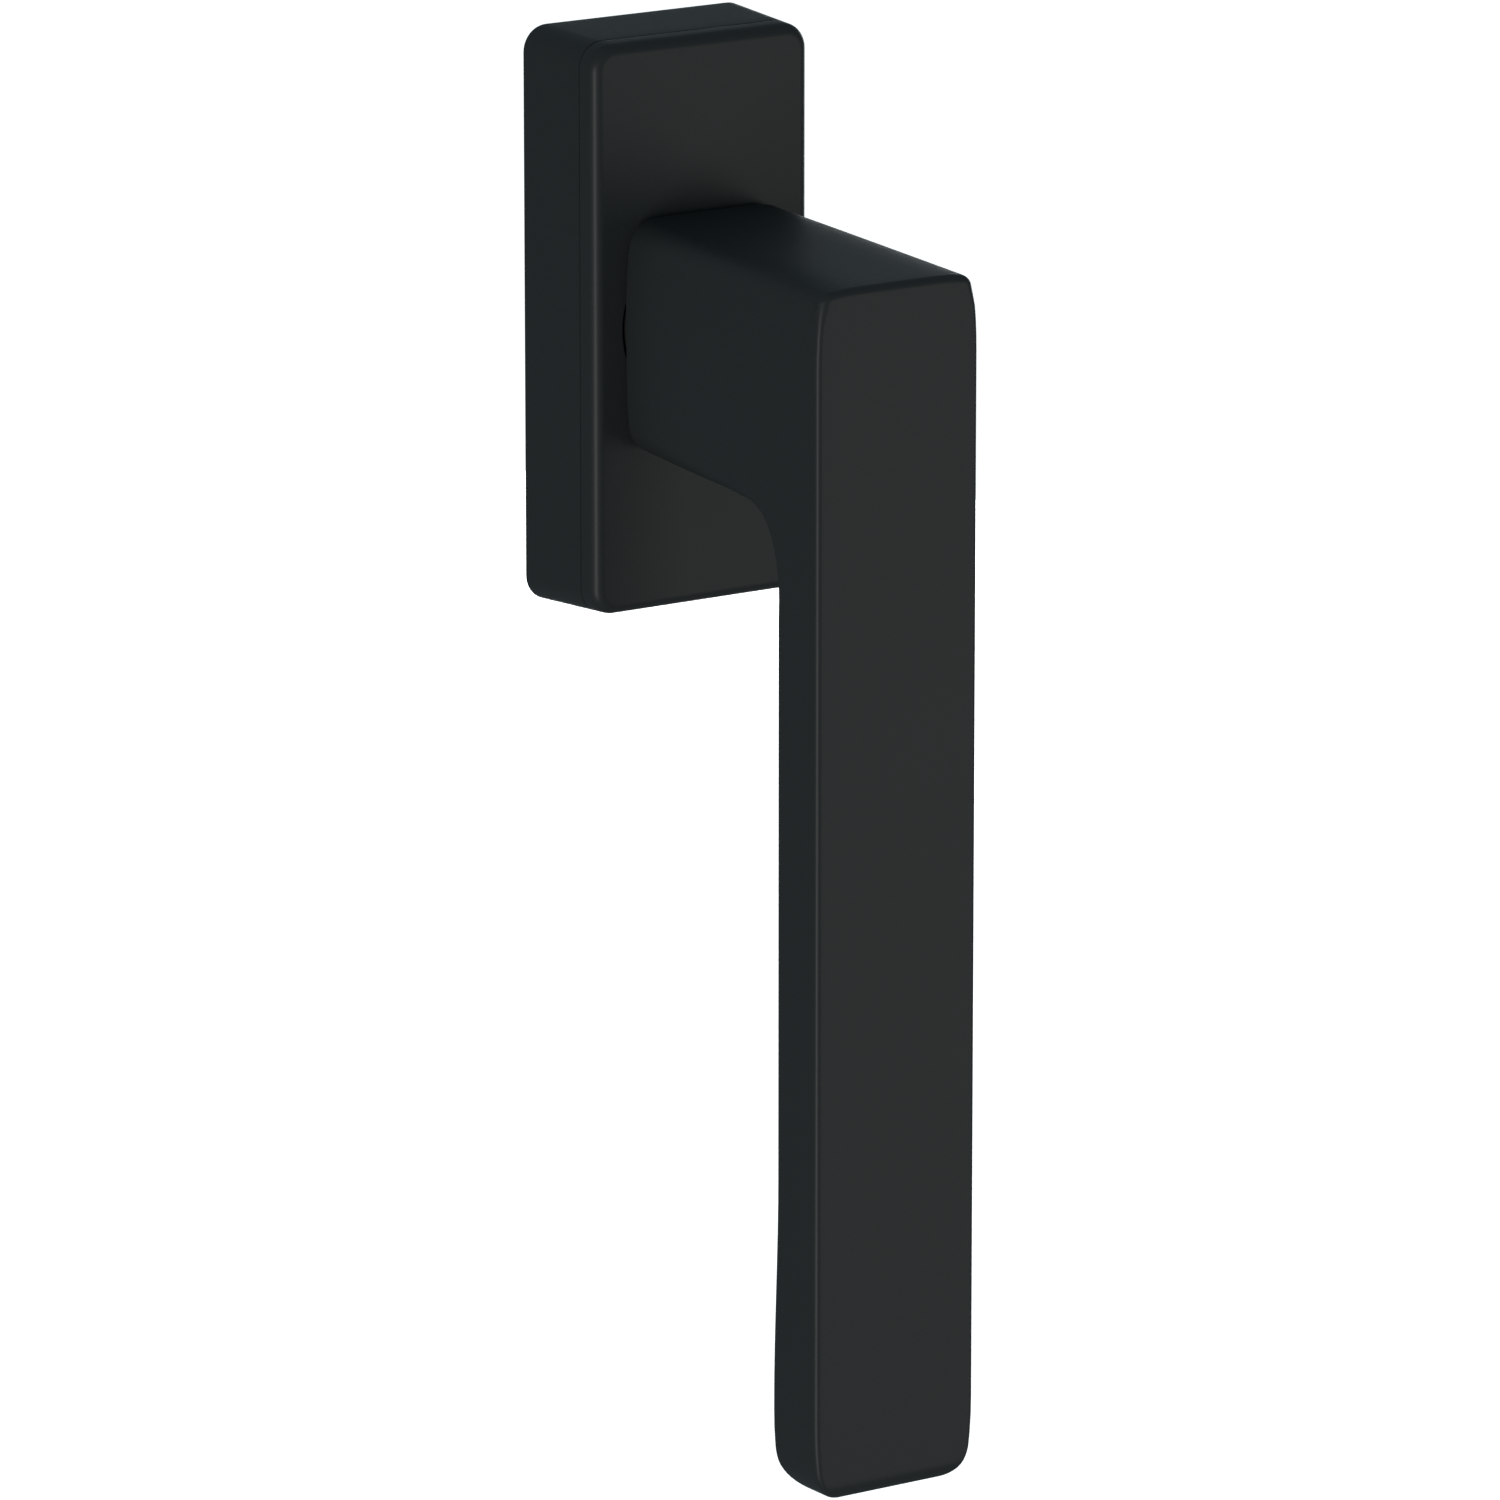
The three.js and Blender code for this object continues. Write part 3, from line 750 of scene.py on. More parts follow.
def rung_section(rung):
    """Half of a rung's section, from the middle of its outer face to the middle of its inner face."""
    points = []
    flat = rung.half - rung.outer_edge
    points += [(flat * i / FACE_STEPS, rung.outer) for i in range(FACE_STEPS)]
    for i in range(EDGE_STEPS + 1):
        turn = math.pi / 2 * i / EDGE_STEPS
        across = flat + rung.outer_edge * math.sin(turn)
        points.append((across, rung.outer + rung.outer_way * rung.outer_edge * (1 - math.cos(turn))))
    high = points[-1][1]
    low = rung.inner + rung.inner_way * rung.inner_edge
    points += [(rung.half, high.lerp(low, i / FLANK_STEPS)) for i in range(1, FLANK_STEPS)]
    flat = rung.half - rung.inner_edge
    for i in range(EDGE_STEPS + 1):
        turn = math.pi / 2 * (1 - i / EDGE_STEPS)
        across = flat + rung.inner_edge * math.sin(turn)
        points.append((across, rung.inner + rung.inner_way * rung.inner_edge * (1 - math.cos(turn))))
    points += [(flat * (1 - i / FACE_STEPS), rung.inner) for i in range(1, FACE_STEPS)]
    points.append((0.0, rung.inner))
    return points


def ease(t):
    t = min(max(t, 0.0), 1.0)
    return t * t * (3 - 2 * t)


def between(a, b, t):
    return a + (b - a) * t


class LeverForm:
    """The lever's rungs: along the neck, round the bend and down the grip."""

    def __init__(self, settings):
        self.s = settings
        self.root = -COVER[0].y + settings.gap
        self.front = -LEVER[0].y
        self.root_top = LEVER[1].z
        self.root_half = LEVER[1].x
        self.end = LEVER[0].z
        self.back = self.front - settings.thick
        self.end_back = self.front - settings.end_thick
        self.low = -settings.root_low - settings.neck_drop
        self.bend_out = self.back - settings.blend_out
        self.grip_start = self.low - settings.blend_down
        self.top_slope = Vector((self.front - self.root, settings.grip_top - self.root_top)).normalized()
        self.low_slope = Vector((self.bend_out - self.root, -settings.neck_drop)).normalized()

    def top(self, out):
        return between(self.root_top, self.s.grip_top, (out - self.root) / (self.front - self.root))

    def half(self, out):
        return between(self.root_half, self.s.grip_half, ease((out - self.root) / (self.back - self.root)))

    def edges(self, out):
        """Radii of the inner and outer long edges at a distance out from the sash."""
        t = 1 - (1 - (out - self.root) / (self.front - self.root)) ** 2
        return between(self.s.foot_edge, self.s.back_edge, t), between(self.s.root_edge, self.s.top_edge, t)

    def front_edge(self, up):
        """Radius of the front's long edges at a height: it tightens below the top corners."""
        return between(self.s.top_edge, self.s.grip_edge, ease((self.s.grip_top - up) / CROWN_FALL))

    def neck_rungs(self, steps=16):
        inner_way = (-self.low_slope.y, self.low_slope.x)
        outer_way = (self.top_slope.y, -self.top_slope.x)
        rungs = []
        for i in range(steps + 1):
            out = between(self.root, self.bend_out, i / steps)
            inner, outer = (out, between(-self.s.root_low, self.low, i / steps)), (out, self.top(out))
            rungs.append(Rung(inner, outer, inner_way, outer_way, self.half(out), *self.edges(out)))
        return rungs

    def blend_point(self, t):
        """A point and the way into the metal, on the hollow curve from the neck's underside to the grip."""
        left = 1 - t
        start, end = Vector((self.bend_out, self.low)), Vector((self.back, self.grip_start))
        first = start + self.low_slope * self.s.blend_out * BLEND_PULL
        second = end + Vector((0, self.s.blend_down * BLEND_PULL))
        point = start * left ** 3 + first * 3 * t * left ** 2 + second * 3 * t * t * left + end * t ** 3
        tangent = (first - start) * left ** 2 + (second - first) * 2 * t * left + (end - second) * t * t
        return point, Vector((-tangent.y, tangent.x))

    def outer_bend(self, steps):
        """Points and inward ways along the top, round the crown and down the front, widening downwards."""
        crown = self.s.crown
        corner = Vector((self.front, self.s.grip_top))
        turn = math.pi / 2 + math.atan2(self.top_slope.y, self.top_slope.x)
        reach = crown * math.tan(turn / 2)
        top_end = corner - self.top_slope * reach
        top_way = Vector((self.top_slope.y, -self.top_slope.x))
        start = Vector((self.bend_out, self.top(self.bend_out)))
        path = [(start.lerp(top_end, i / steps[0]), top_way) for i in range(1, steps[0] + 1)]
        centre = top_end + top_way * crown
        for i in range(1, steps[1] + 1):
            heading = math.atan2(-top_way.y, -top_way.x) - turn * i / steps[1]
            outwards = Vector((math.cos(heading), math.sin(heading)))
            path.append((centre + outwards * crown, -outwards))
        front_start = path[-1][0]
        front_end = Vector((self.front, self.grip_start))
        for i in range(1, steps[2] + 1):
            share_down = (i / steps[2]) ** 1.25
            path.append((front_start.lerp(front_end, share_down), Vector((-1, 0))))
        return path

    def bend_rungs(self, steps=(9, 9, 16)):
        path = self.outer_bend(steps)
        rungs = []
        for i, (outer, way) in enumerate(path, 1):
            inner, inner_way = self.blend_point(i / len(path))
            inner_edge, _ = self.edges(inner.x)
            outer_edge = self.edges(outer.x)[1] if i <= steps[0] else self.front_edge(outer.y)
            rungs.append(Rung(inner, outer, inner_way, way, self.half(inner.x), inner_edge, outer_edge))
        return rungs

    def back_at(self, up):
        drop = (-up - self.s.swell_from) / (self.s.swell_to - self.s.swell_from)
        return between(self.back, self.end_back, ease(drop))

    def grip_rung(self, up, shrink=(0.0, 0.0, 0.0)):
        front, back, side = shrink
        inner, outer = (self.back_at(up) + back, up), (self.front - front, up)
        half, edges = self.s.grip_half - side, (self.s.back_edge, self.s.grip_edge)
        return Rung(inner, outer, (1, 0), (-1, 0), half, *edges)

    def grip_rungs(self, steps=44, end_steps=14):
        """Down the grip and round its end, where front, back and sides draw in on their own radii."""
        radii = self.s.toe, self.s.heel, self.s.corner
        tallest = max(radii)
        stop = self.end + tallest
        rungs = [self.grip_rung(between(self.grip_start, stop, i / steps)) for i in range(1, steps + 1)]
        for i in range(1, end_steps + 1):
            height = tallest * (1 - math.sin(math.pi / 2 * i / end_steps))
            shrink = [r - math.sqrt(r * r - max(r - height, 0) ** 2) for r in radii]
            rungs.append(self.grip_rung(self.end + height, shrink))
        return rungs

    def shaped(self, across, spot):
        """Draws the sides in a little towards each end, and lets the top fall towards its sides."""
        out, up = spot
        s = self.s
        neck = 1 - ease((out - self.bend_out + NECK_END) / FADE)
        top = max(0, (up - s.grip_top) / DRAW + 1) ** 2
        bottom = DRAW_END * max(0, (self.end - up) / DRAW + 1) ** 2
        under = neck * max(0, (-s.root_low - up) / DRAW + 1) ** 2
        pull = s.bow * min(DRAW_MOST, top + bottom + under)
        sideways = abs(across) / s.grip_half
        fall = s.crest * sideways ** 5 * ease((up - CREST_START) / FADE)
        return at(across * (1 - pull / s.grip_half), up - fall, out)

    def ring(self, rung):
        half = rung_section(rung)
        left = [(-across, spot) for across, spot in reversed(half[1:-1])]
        return [self.shaped(across, spot) for across, spot in half + left]

    def rings(self, edge=0.35 * MM, edge_steps=4):
        """Every ring of the lever, from the round on the neck's back edge to the end of the grip."""
        neck = self.neck_rungs()
        lip = []
        for i in range(edge_steps):
            turn = math.pi / 2 * i / edge_steps
            rung = neck[0].shrunk(edge * (1 - math.sin(turn)))
            shift = Vector((edge * (1 - math.cos(turn)), 0))
            rung.inner, rung.outer = rung.inner + shift, rung.outer + shift
            lip.append(rung)
        first = neck[0]
        first.inner, first.outer = first.inner + Vector((edge, 0)), first.outer + Vector((edge, 0))
        return [self.ring(rung) for rung in [*lip, *neck, *self.bend_rungs(), *self.grip_rungs()]]


def square_ring(half, out, model, corner=0.0):
    """A square about the spindle axis, with points in the same directions as a model ring's."""
    ring = []
    for point in model:
        turn = math.atan2(point.z, point.x)
        reach = half / max(abs(math.cos(turn)), abs(math.sin(turn)))
        reach = min(reach, (2 * half - corner) / (abs(math.cos(turn)) + abs(math.sin(turn))))
        ring.append(at(reach * math.cos(turn), reach * math.sin(turn), out))
    return ring


def pin_height():
    """Distance of the cross pin from the sash."""
    low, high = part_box("spindle_pin")
    return -(low.y + high.y) / 2


SOCKET_GAP = 0.3 * MM  # between the spindle's end and the bottom of its socket
ROD_REACH = 12 * MM  # half the length of the rod that cuts the cross pin's hole


class HANDLE_OT_lever(bpy.types.Operator):
    """Make the lever: socket, journal, neck and grip in one casting"""

    bl_idname = "window_handle.lever"
    bl_label = "Lever"

    def execute(self, context):
        settings = context.scene.window_handle.lever
        form = LeverForm(settings)
        rings = form.rings()
        model = rings[0]
        socket_end = -SPINDLE[0].y + SOCKET_GAP
        back = -LEVER[1].y
        edge = 0.4 * MM
        inside = [square_ring(settings.socket, out, model) for out in (socket_end, back + edge)]
        inside.append(square_ring(settings.socket + edge, back, model))
        journal, groove = settings.journal, settings.groove
        inside += centred_rings(
            model, (journal - edge, back), (journal, back + edge), (journal, settings.groove_back),
            (groove, settings.groove_back), (groove, settings.groove_front), (journal, settings.groove_front),
            (journal, form.root),
        )
        piece = new_object("lever_casting", *skin(inside + rings))
        cut(piece, cross_rod(settings.pin_hole, ROD_REACH, pin_height()))
        smooth(piece, CREASE)
        even_normals(piece)
        finish_piece(piece, "black_coat", "handle", "lever")
        return {"FINISHED"}


# ---------------------------------------------------------------- bearing, retaining and detent pieces

def washer_profile(bore, outer, back, front, edge):
    """The section of a flat ring with broken edges, as (radius, out) points."""
    return [
        (bore, back + edge), (bore, front - edge), (bore + edge, front), (outer - edge, front),
        (outer, front - edge), (outer, back + edge), (outer - edge, back), (bore + edge, back),
    ]


def depth_of(node):
    """A node's (back, front) distances from the sash, and its largest radius about the spindle axis."""
    low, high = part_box(node)
    return -high.y, -low.y, high.x


class HANDLE_OT_bearing(bpy.types.Operator):
    """Make the bearing bush, the wave washer and the retaining washer"""

    bl_idname = "window_handle.bearing"
    bl_label = "Bearing"

    def execute(self, context):
        hardware = context.scene.window_handle.hardware
        back, front, flange = depth_of("bearing_bush")
        edge = 0.2 * MM
        bore, sleeve, root = hardware.bush_bore, hardware.bush_outer, front - hardware.flange
        bush = turned("bearing_collar", [
            (bore + edge, back), (bore, back + edge), (bore, front - edge), (bore + edge, front),
            (flange - edge, front), (flange, front - edge), (flange, root + edge), (flange - edge, root),
            (sleeve, root), (sleeve, back + edge), (sleeve - edge, back),
        ], ROUND_SIDES)
        even_normals(bush)
        finish_piece(bush, "dark_polyamide", "rose", "bearing_bush")
        back, front, outer = depth_of("retaining_washer")
        profile = washer_profile(hardware.washer_bore, outer, back, front, edge / 2)
        washer = turned("thrust_washer", profile, ROUND_SIDES)
        finish_piece(washer, "zinc_plated_steel", "handle", "retaining_washer")
        self.wave_washer(hardware)
        return {"FINISHED"}

    def wave_washer(self, hardware, steps=180):
        back, front, outer = depth_of("wave_washer")
        half = hardware.wave_thick / 2
        middle, lift = (back + front) / 2, (front - back) / 2 - half
        rings = []
        for i in range(steps):
            turn = 2 * math.pi * i / steps
            level = middle + lift * math.cos(hardware.waves * turn)
            section = (
                (hardware.wave_bore, level - half), (hardware.wave_bore, level + half),
                (outer, level + half), (outer, level - half),
            )
            rings.append([at(r * math.cos(turn), r * math.sin(turn), out) for r, out in section])
        spring = new_object("wavy_spring", *skin(rings, closed=True))
        finish_piece(spring, "spring_steel", "handle", "wave_washer")


class HANDLE_OT_spindle(bpy.types.Operator):
    """Make the square spindle and its cross pin"""

    bl_idname = "window_handle.spindle"
    bl_label = "Spindle"

    def execute(self, context):
        settings = context.scene.window_handle
        chamfer, lead = settings.hardware.spindle_chamfer, settings.hardware.spindle_lead
        half, front, back = SPINDLE[1].x, -SPINDLE[0].y, -SPINDLE[1].y
        nick = 0.15 * MM

        def bar(size, out):
            flat = size - chamfer
            corners = [(size, -flat), (size, flat), (flat, size), (-flat, size)]
            corners += [(-x, -z) for x, z in corners]
            return [at(x, z, out) for x, z in corners]

        ends = (half - lead, back), (half, back + lead), (half, front - nick), (half - nick, front)
        piece = new_object("square_spindle", *skin([bar(*end) for end in ends]))
        cut(piece, cross_rod(settings.lever.pin_hole, ROD_REACH, pin_height()))
        break_edges(piece, width=0.06 * MM, sharper=math.radians(20))
        finish_piece(piece, "zinc_plated_steel", "handle", "spindle")
        low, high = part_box("spindle_pin")
        pin = cross_rod((high.z - low.z) / 2, high.x, pin_height(), edge=0.25 * MM)
        pin.name = "cross_pin"
        finish_piece(pin, "bright_steel", "handle", "spindle_pin")
        return {"FINISHED"}


CLIP_MOUTH, CLIP_SLOT = 1.5 * MM, 0.7 * MM  # half widths of the circlip's opening before and after its ears
EAR_RADIUS, EYE_RADIUS = 1.5 * MM, 0.65 * MM  # the circlip's ears and the pliers' holes in them
EAR_ACROSS, EAR_OUT = 2.6 * MM, 0.1 * MM
FAR = 20 * MM  # outside every round piece


class HANDLE_OT_retainers(bpy.types.Operator):
    """Make the circlip on the journal and the snap ring that holds the cover"""

    bl_idname = "window_handle.retainers"
    bl_label = "Circlip and snap ring"

    def execute(self, context):
        hardware = context.scene.window_handle.hardware
        self.circlip(hardware)
        self.snap_ring(hardware)
        return {"FINISHED"}

    def circlip(self, hardware):
        back, front, _ = depth_of("circlip")
        bore, outer = hardware.clip_bore, hardware.clip_outer
        through = back - PAST, front + PAST
        ring = [(bore, back), (bore, front), (outer, front), (outer, back)]
        piece = turned("spring_clip", ring, ROUND_SIDES)
        cut(piece, brick((-CLIP_MOUTH, CLIP_MOUTH), (-FAR, 0.0), through))
        for side in (1, -1):
            spot = (side * EAR_ACROSS, -outer - EAR_OUT)
            ear = [(EAR_RADIUS, back), (EAR_RADIUS, front)]
            cut(piece, turned("ear", ear, sides=48, centre=spot, closed=False), "UNION")
            eye = [(EYE_RADIUS, out) for out in through]
            cut(piece, turned("eye", eye, sides=32, centre=spot, closed=False))
        cut(piece, turned("bore", [(bore, out) for out in through], ROUND_SIDES, closed=False))
        cut(piece, brick((-CLIP_SLOT, CLIP_SLOT), (-FAR, 0.0), through))
        break_edges(piece, width=0.05 * MM)
        finish_piece(piece, "spring_steel", "handle", "circlip")

    def snap_ring(self, hardware, steps=150, section_steps=16):
        back, front, outer = depth_of("cover_snap_ring")
        bore = hardware.snap_bore
        half, height, edge = (outer - bore) / 2, (front - back) / 2, 0.25 * MM
        gap = math.asin(hardware.snap_slit / bore)
        rings = []
        for i in range(steps + 1):
            turn = -math.pi / 2 + gap + (2 * math.pi - 2 * gap) * i / steps
            section = []
            for j in range(section_steps):
                around = 2 * math.pi * (j + 0.5) / section_steps
                across, up = math.cos(around), math.sin(around)
                reach = (half - edge) * math.copysign(1, across) + edge * across
                rise = (height - edge) * math.copysign(1, up) + edge * up
                section.append((bore + half + reach, back + height + rise))
            rings.append([at(r * math.cos(turn), r * math.sin(turn), out) for r, out in section])
        piece = new_object("cover_ring", *skin(rings))
        finish_piece(piece, "spring_steel", "cover_carrier", "cover_snap_ring")


class HANDLE_OT_detent(bpy.types.Operator):
    """Make the detent cam, and give the two leaf springs their finish"""

    bl_idname = "window_handle.detent"
    bl_label = "Detent"

    def execute(self, context):
        settings = context.scene.window_handle
        back, front, flat = depth_of("detent_cam")
        corner, steps = settings.hardware.cam_corner, 96
        outline = []
        for i in range(steps):
            turn = 2 * math.pi * i / steps
            spot = corner * math.cos(turn), corner * math.sin(turn)
            outline.append([max(-flat, min(flat, place)) for place in spot])
        rings = [[at(x, z, out) for x, z in outline] for out in (back, front)]
        piece = new_object("square_cam", *skin(rings))
        half = settings.lever.socket
        cut(piece, brick((-half, half), (-half, half), (back - PAST, front + PAST)))
        break_edges(piece, width=0.12 * MM, sharper=math.radians(50))
        finish_piece(piece, "pale_polyamide", "handle", "detent_cam")
        for node in ("detent_spring_right", "detent_spring_left"):
            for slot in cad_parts[node].material_slots:
                slot.material = finishes()["spring_steel"]
        return {"FINISHED"}


class HANDLE_OT_base_plate(bpy.types.Operator):
    """Make the stamped plate that closes the rose's housing"""

    bl_idname = "window_handle.base_plate"
    bl_label = "Base plate"

    def execute(self, context):
        settings = context.scene.window_handle
        rose, hardware = settings.rose, settings.hardware
        back, front = -PLATE[1].y, -PLATE[0].y
        half_width, half_height = PLATE[1].x, PLATE[1].z
        edge, fit = 0.12 * MM, 0.2 * MM
        rings = [
            rose_ring(half_width - inset, half_height - inset, hardware.plate_corner, out)
            for inset, out in ((edge, back), (0.0, back + edge), (0.0, front))
        ]
        piece = new_object("back_plate", *skin(rings))
        holes = [(hardware.spindle_hole, (0.0, 0.0))]
        holes += [(rose.boss + fit, (0.0, side * rose.screw_spacing / 2)) for side in (1, -1)]
        holes += [(PILOT_RADIUS, (x * rose.post_across, z * rose.post_up)) for x, z in PLATE_SPOTS]
        for radius, spot in holes:
            mouth = radius + edge
            punch = [(mouth, back - PAST), (mouth, back), (radius, back + edge), (radius, front + PAST)]
            cut(piece, turned("punch", punch, centre=spot, closed=False))
        smooth(piece, CREASE)
        finish_piece(piece, "zinc_plated_steel", "rose", "base_plate")
        return {"FINISHED"}


# ---------------------------------------------------------------- screws

SCREW_SIZES = (
    "Radius", "Head Radius", "Rim", "Cone", "Edge", "Length", "Tip", "Plain", "Pitch", "Depth",
    "Recess Reach", "Recess Half", "Recess Depth", "Across Spacing", "Up Spacing", "Out", "Turn Over",
)
SCREW_COUNTS = ("Sides", "Rows", "Across Count", "Up Count", "Seed")
ENLARGE = 1000.0  # the recess is cut at this many times its size, where the cut is exact
# the recess's two blades: how wide, how high and how deep, unequal so that no two faces lie in one plane
BLADES = (("Recess Reach", "Recess Half", 2.0), ("Recess Half", "Recess Reach", 2.06))
RECESS_TAPER = 0.35  # how much narrower the recess is at its bottom
WELD = 0.002 * MM  # points of the rolled grid closer than this are joined


def screw_tree():
    """Geometry Nodes that roll a grid into a threaded screw, cut its recess and set out copies of it."""
    group = bpy.data.node_groups.new("threaded_screws", "GeometryNodeTree")
    group.interface.new_socket("Geometry", in_out="OUTPUT", socket_type="NodeSocketGeometry")
    for name in SCREW_SIZES:
        group.interface.new_socket(name, in_out="INPUT", socket_type="NodeSocketFloat")
    for name in SCREW_COUNTS:
        group.interface.new_socket(name, in_out="INPUT", socket_type="NodeSocketInt")
    group.interface.new_socket("Finish", in_out="INPUT", socket_type="NodeSocketMaterial")
    tree = Tree(group)

    def given(name):
        return tree.add("NodeGroupInput", output=name)

    def part(name):
        return tree.add("ShaderNodeSeparateXYZ", {"Vector": tree.add("GeometryNodeInputPosition")}, name)

    def point(x, y, z):
        return tree.add("ShaderNodeCombineXYZ", {"X": x, "Y": y, "Z": z})

    def sized(geometry, factor):
        return tree.add("GeometryNodeTransform", {"Geometry": geometry, "Scale": (factor,) * 3})

    total = given("Length")
    row = total / (given("Rows") - 3)
    grid = tree.add("GeometryNodeMeshGrid", {
        "Size X": 2 * math.pi, "Size Y": total + 2 * row,
        "Vertices X": given("Sides") + 1, "Vertices Y": given("Rows"),
    })
    turn, along = part("X"), part("Y") + total / 2
    wave = along / given("Pitch") - turn / (2 * math.pi)
    ridge = tree.add("ShaderNodeMath", {0: wave}, operation="FRACT")
    ridge = tree.add("ShaderNodeMath", {0: 2 * ridge - 1}, operation="ABSOLUTE")
    cut_in = ((along - given("Plain")) / given("Pitch")).unit()
    shank = given("Radius") - given("Depth") * (1.5 * ridge - 0.25).unit() * cut_in
    fall = (given("Head Radius") - given("Radius")) / given("Cone")
    head = given("Head Radius") - (along - given("Rim")).high(0.0) * fall
    head = head.low(given("Head Radius") - given("Edge") + along)
    tip = given("Radius") / 2 + (total - along) * (given("Radius") / 2 / given("Tip"))
    inside = (along > -0.5 * row) * (along < total + 0.5 * row)
    radius = shank.high(head).low(tip) * inside
    across, up = radius * turn.math("COSINE", turn), radius * turn.math("SINE", turn) * -1
    spot = point(across, along.high(0.0).low(total), up)
    rolled = tree.add("GeometryNodeSetPosition", {"Geometry": grid, "Position": spot})
    screw = tree.add("GeometryNodeMergeByDistance", {"Geometry": rolled, "Distance": WELD})
    deep = given("Recess Depth")
    narrow = 1 - RECESS_TAPER * (part("Y") / deep).unit()
    blades = []
    for wide, high, tall in BLADES:
        size = point(2 * given(wide), tall * deep, 2 * given(high))
        blade = tree.add("GeometryNodeMeshCube", {"Size": size})
        tapered = point(part("X") * narrow, part("Y"), part("Z") * narrow)
        blade = tree.add("GeometryNodeSetPosition", {"Geometry": blade, "Position": tapered})
        blades.append(sized(blade, ENLARGE))
    screw = tree.add("GeometryNodeMeshBoolean", {
        "Mesh 1": sized(screw, ENLARGE), "Mesh 2": blades,
    }, operation="DIFFERENCE")
    screw = sized(screw, 1 / ENLARGE)
    spin = tree.add("FunctionNodeRandomValue", {
        "Min_001": 0.0, "Max_001": 2 * math.pi, "Seed": given("Seed"),
    }, "Value_001", data_type="FLOAT")
    for way, ways in (("Up", (0, 1)), ("Across", (1, 0))):
        count, step = given(way + " Count"), given(way + " Spacing")
        start = (count - 1) * step * -0.5
        out = given("Out") * -1 if ways[1] else 0.0
        line = tree.add("GeometryNodeMeshLine", {
            "Count": count, "Start Location": point(start * ways[0], out, start * ways[1]),
            "Offset": point(step * ways[0], 0.0, step * ways[1]),
        })
        rotation = point(given("Turn Over"), spin, 0.0) if ways[1] else point(0.0, 0.0, 0.0)
        placed = {"Points": line, "Instance": screw, "Rotation": rotation}
        screw = tree.add("GeometryNodeInstanceOnPoints", placed)
    real = tree.add("GeometryNodeRealizeInstances", {"Geometry": screw})
    painted = tree.add("GeometryNodeSetMaterial", {"Geometry": real, "Material": given("Finish")})
    tree.add("NodeGroupOutput", {"Geometry": painted})
    return group


def screws(name, values, slot, *nodes):
    """One finished piece that holds every screw of one kind."""
    group = bpy.data.node_groups.get("threaded_screws") or screw_tree()
    piece = bpy.data.objects.new(name, bpy.data.meshes.new(name))
    bpy.context.scene.collection.objects.link(piece)
    modifier = piece.modifiers.new("Screws", "NODES")
    modifier.node_group = group
    values = {**values, "Finish": finishes()[slot]}
    for item in group.interface.items_tree:
        if item.in_out == "INPUT":
            modifier[item.identifier] = values[item.name]
    settle(piece)
    work = bmesh.new()
    work.from_mesh(piece.data)
    bmesh.ops.remove_doubles(work, verts=work.verts, dist=1e-7)
    bmesh.ops.recalc_face_normals(work, faces=work.faces)
    work.to_mesh(piece.data)
    work.free()
    smooth(piece, math.radians(38))
    finish_piece(piece, slot, "rose", *nodes)


class HANDLE_OT_screws(bpy.types.Operator):
    """Make the two fixing screws and the four plate screws"""

    bl_idname = "window_handle.screws"
    bl_label = "Screws"

    def execute(self, context):
        settings = context.scene.window_handle
        rose, screw = settings.rose, settings.screw
        low, high = SCREW
        screws("fixing_screws", {
            "Radius": screw.radius, "Head Radius": (high.x - low.x) / 2, "Rim": HEAD_RIM, "Cone": HEAD_CONE,
            "Edge": 0.12 * MM, "Length": high.y - low.y, "Tip": 1.2 * MM, "Plain": screw.plain,
            "Pitch": screw.pitch, "Depth": screw.depth, "Recess Reach": HEAD_CONE,
            "Recess Half": 0.45 * MM, "Recess Depth": 1.9 * MM, "Across Spacing": 0.0,
            "Up Spacing": rose.screw_spacing, "Out": -low.y, "Turn Over": 0.0, "Sides": screw.sides,
            "Rows": 260, "Across Count": 1, "Up Count": 2, "Seed": 3,
        }, "zinc_plated_steel", "fixing_screw_upper", "fixing_screw_lower")
        low, high = PLATE_SCREW
        screws("plate_screws", {
            "Radius": screw.small_radius, "Head Radius": (high.x - low.x) / 2, "Rim": 0.85 * MM,
            "Cone": 0.05 * MM, "Edge": 0.3 * MM, "Length": high.y - low.y, "Tip": 0.6 * MM,
            "Plain": 0.9 * MM, "Pitch": screw.small_pitch, "Depth": screw.small_depth,
            "Recess Reach": 1.1 * MM, "Recess Half": 0.22 * MM, "Recess Depth": 0.6 * MM,
            "Across Spacing": 2 * rose.post_across, "Up Spacing": 2 * rose.post_up, "Out": -high.y,
            "Turn Over": math.pi, "Sides": screw.sides, "Rows": 90, "Across Count": 2, "Up Count": 2,
            "Seed": 8,
        }, "bright_steel", *[f"plate_screw_{i}" for i in (1, 2, 3, 4)])
        return {"FINISHED"}


# ---------------------------------------------------------------- the stage

def direction(azimuth, elevation):
    """The way from the handle to something that stands round it, with azimuth 0 in front."""
    level = math.cos(elevation)
    return Vector((math.sin(azimuth) * level, -math.cos(azimuth) * level, math.sin(elevation)))


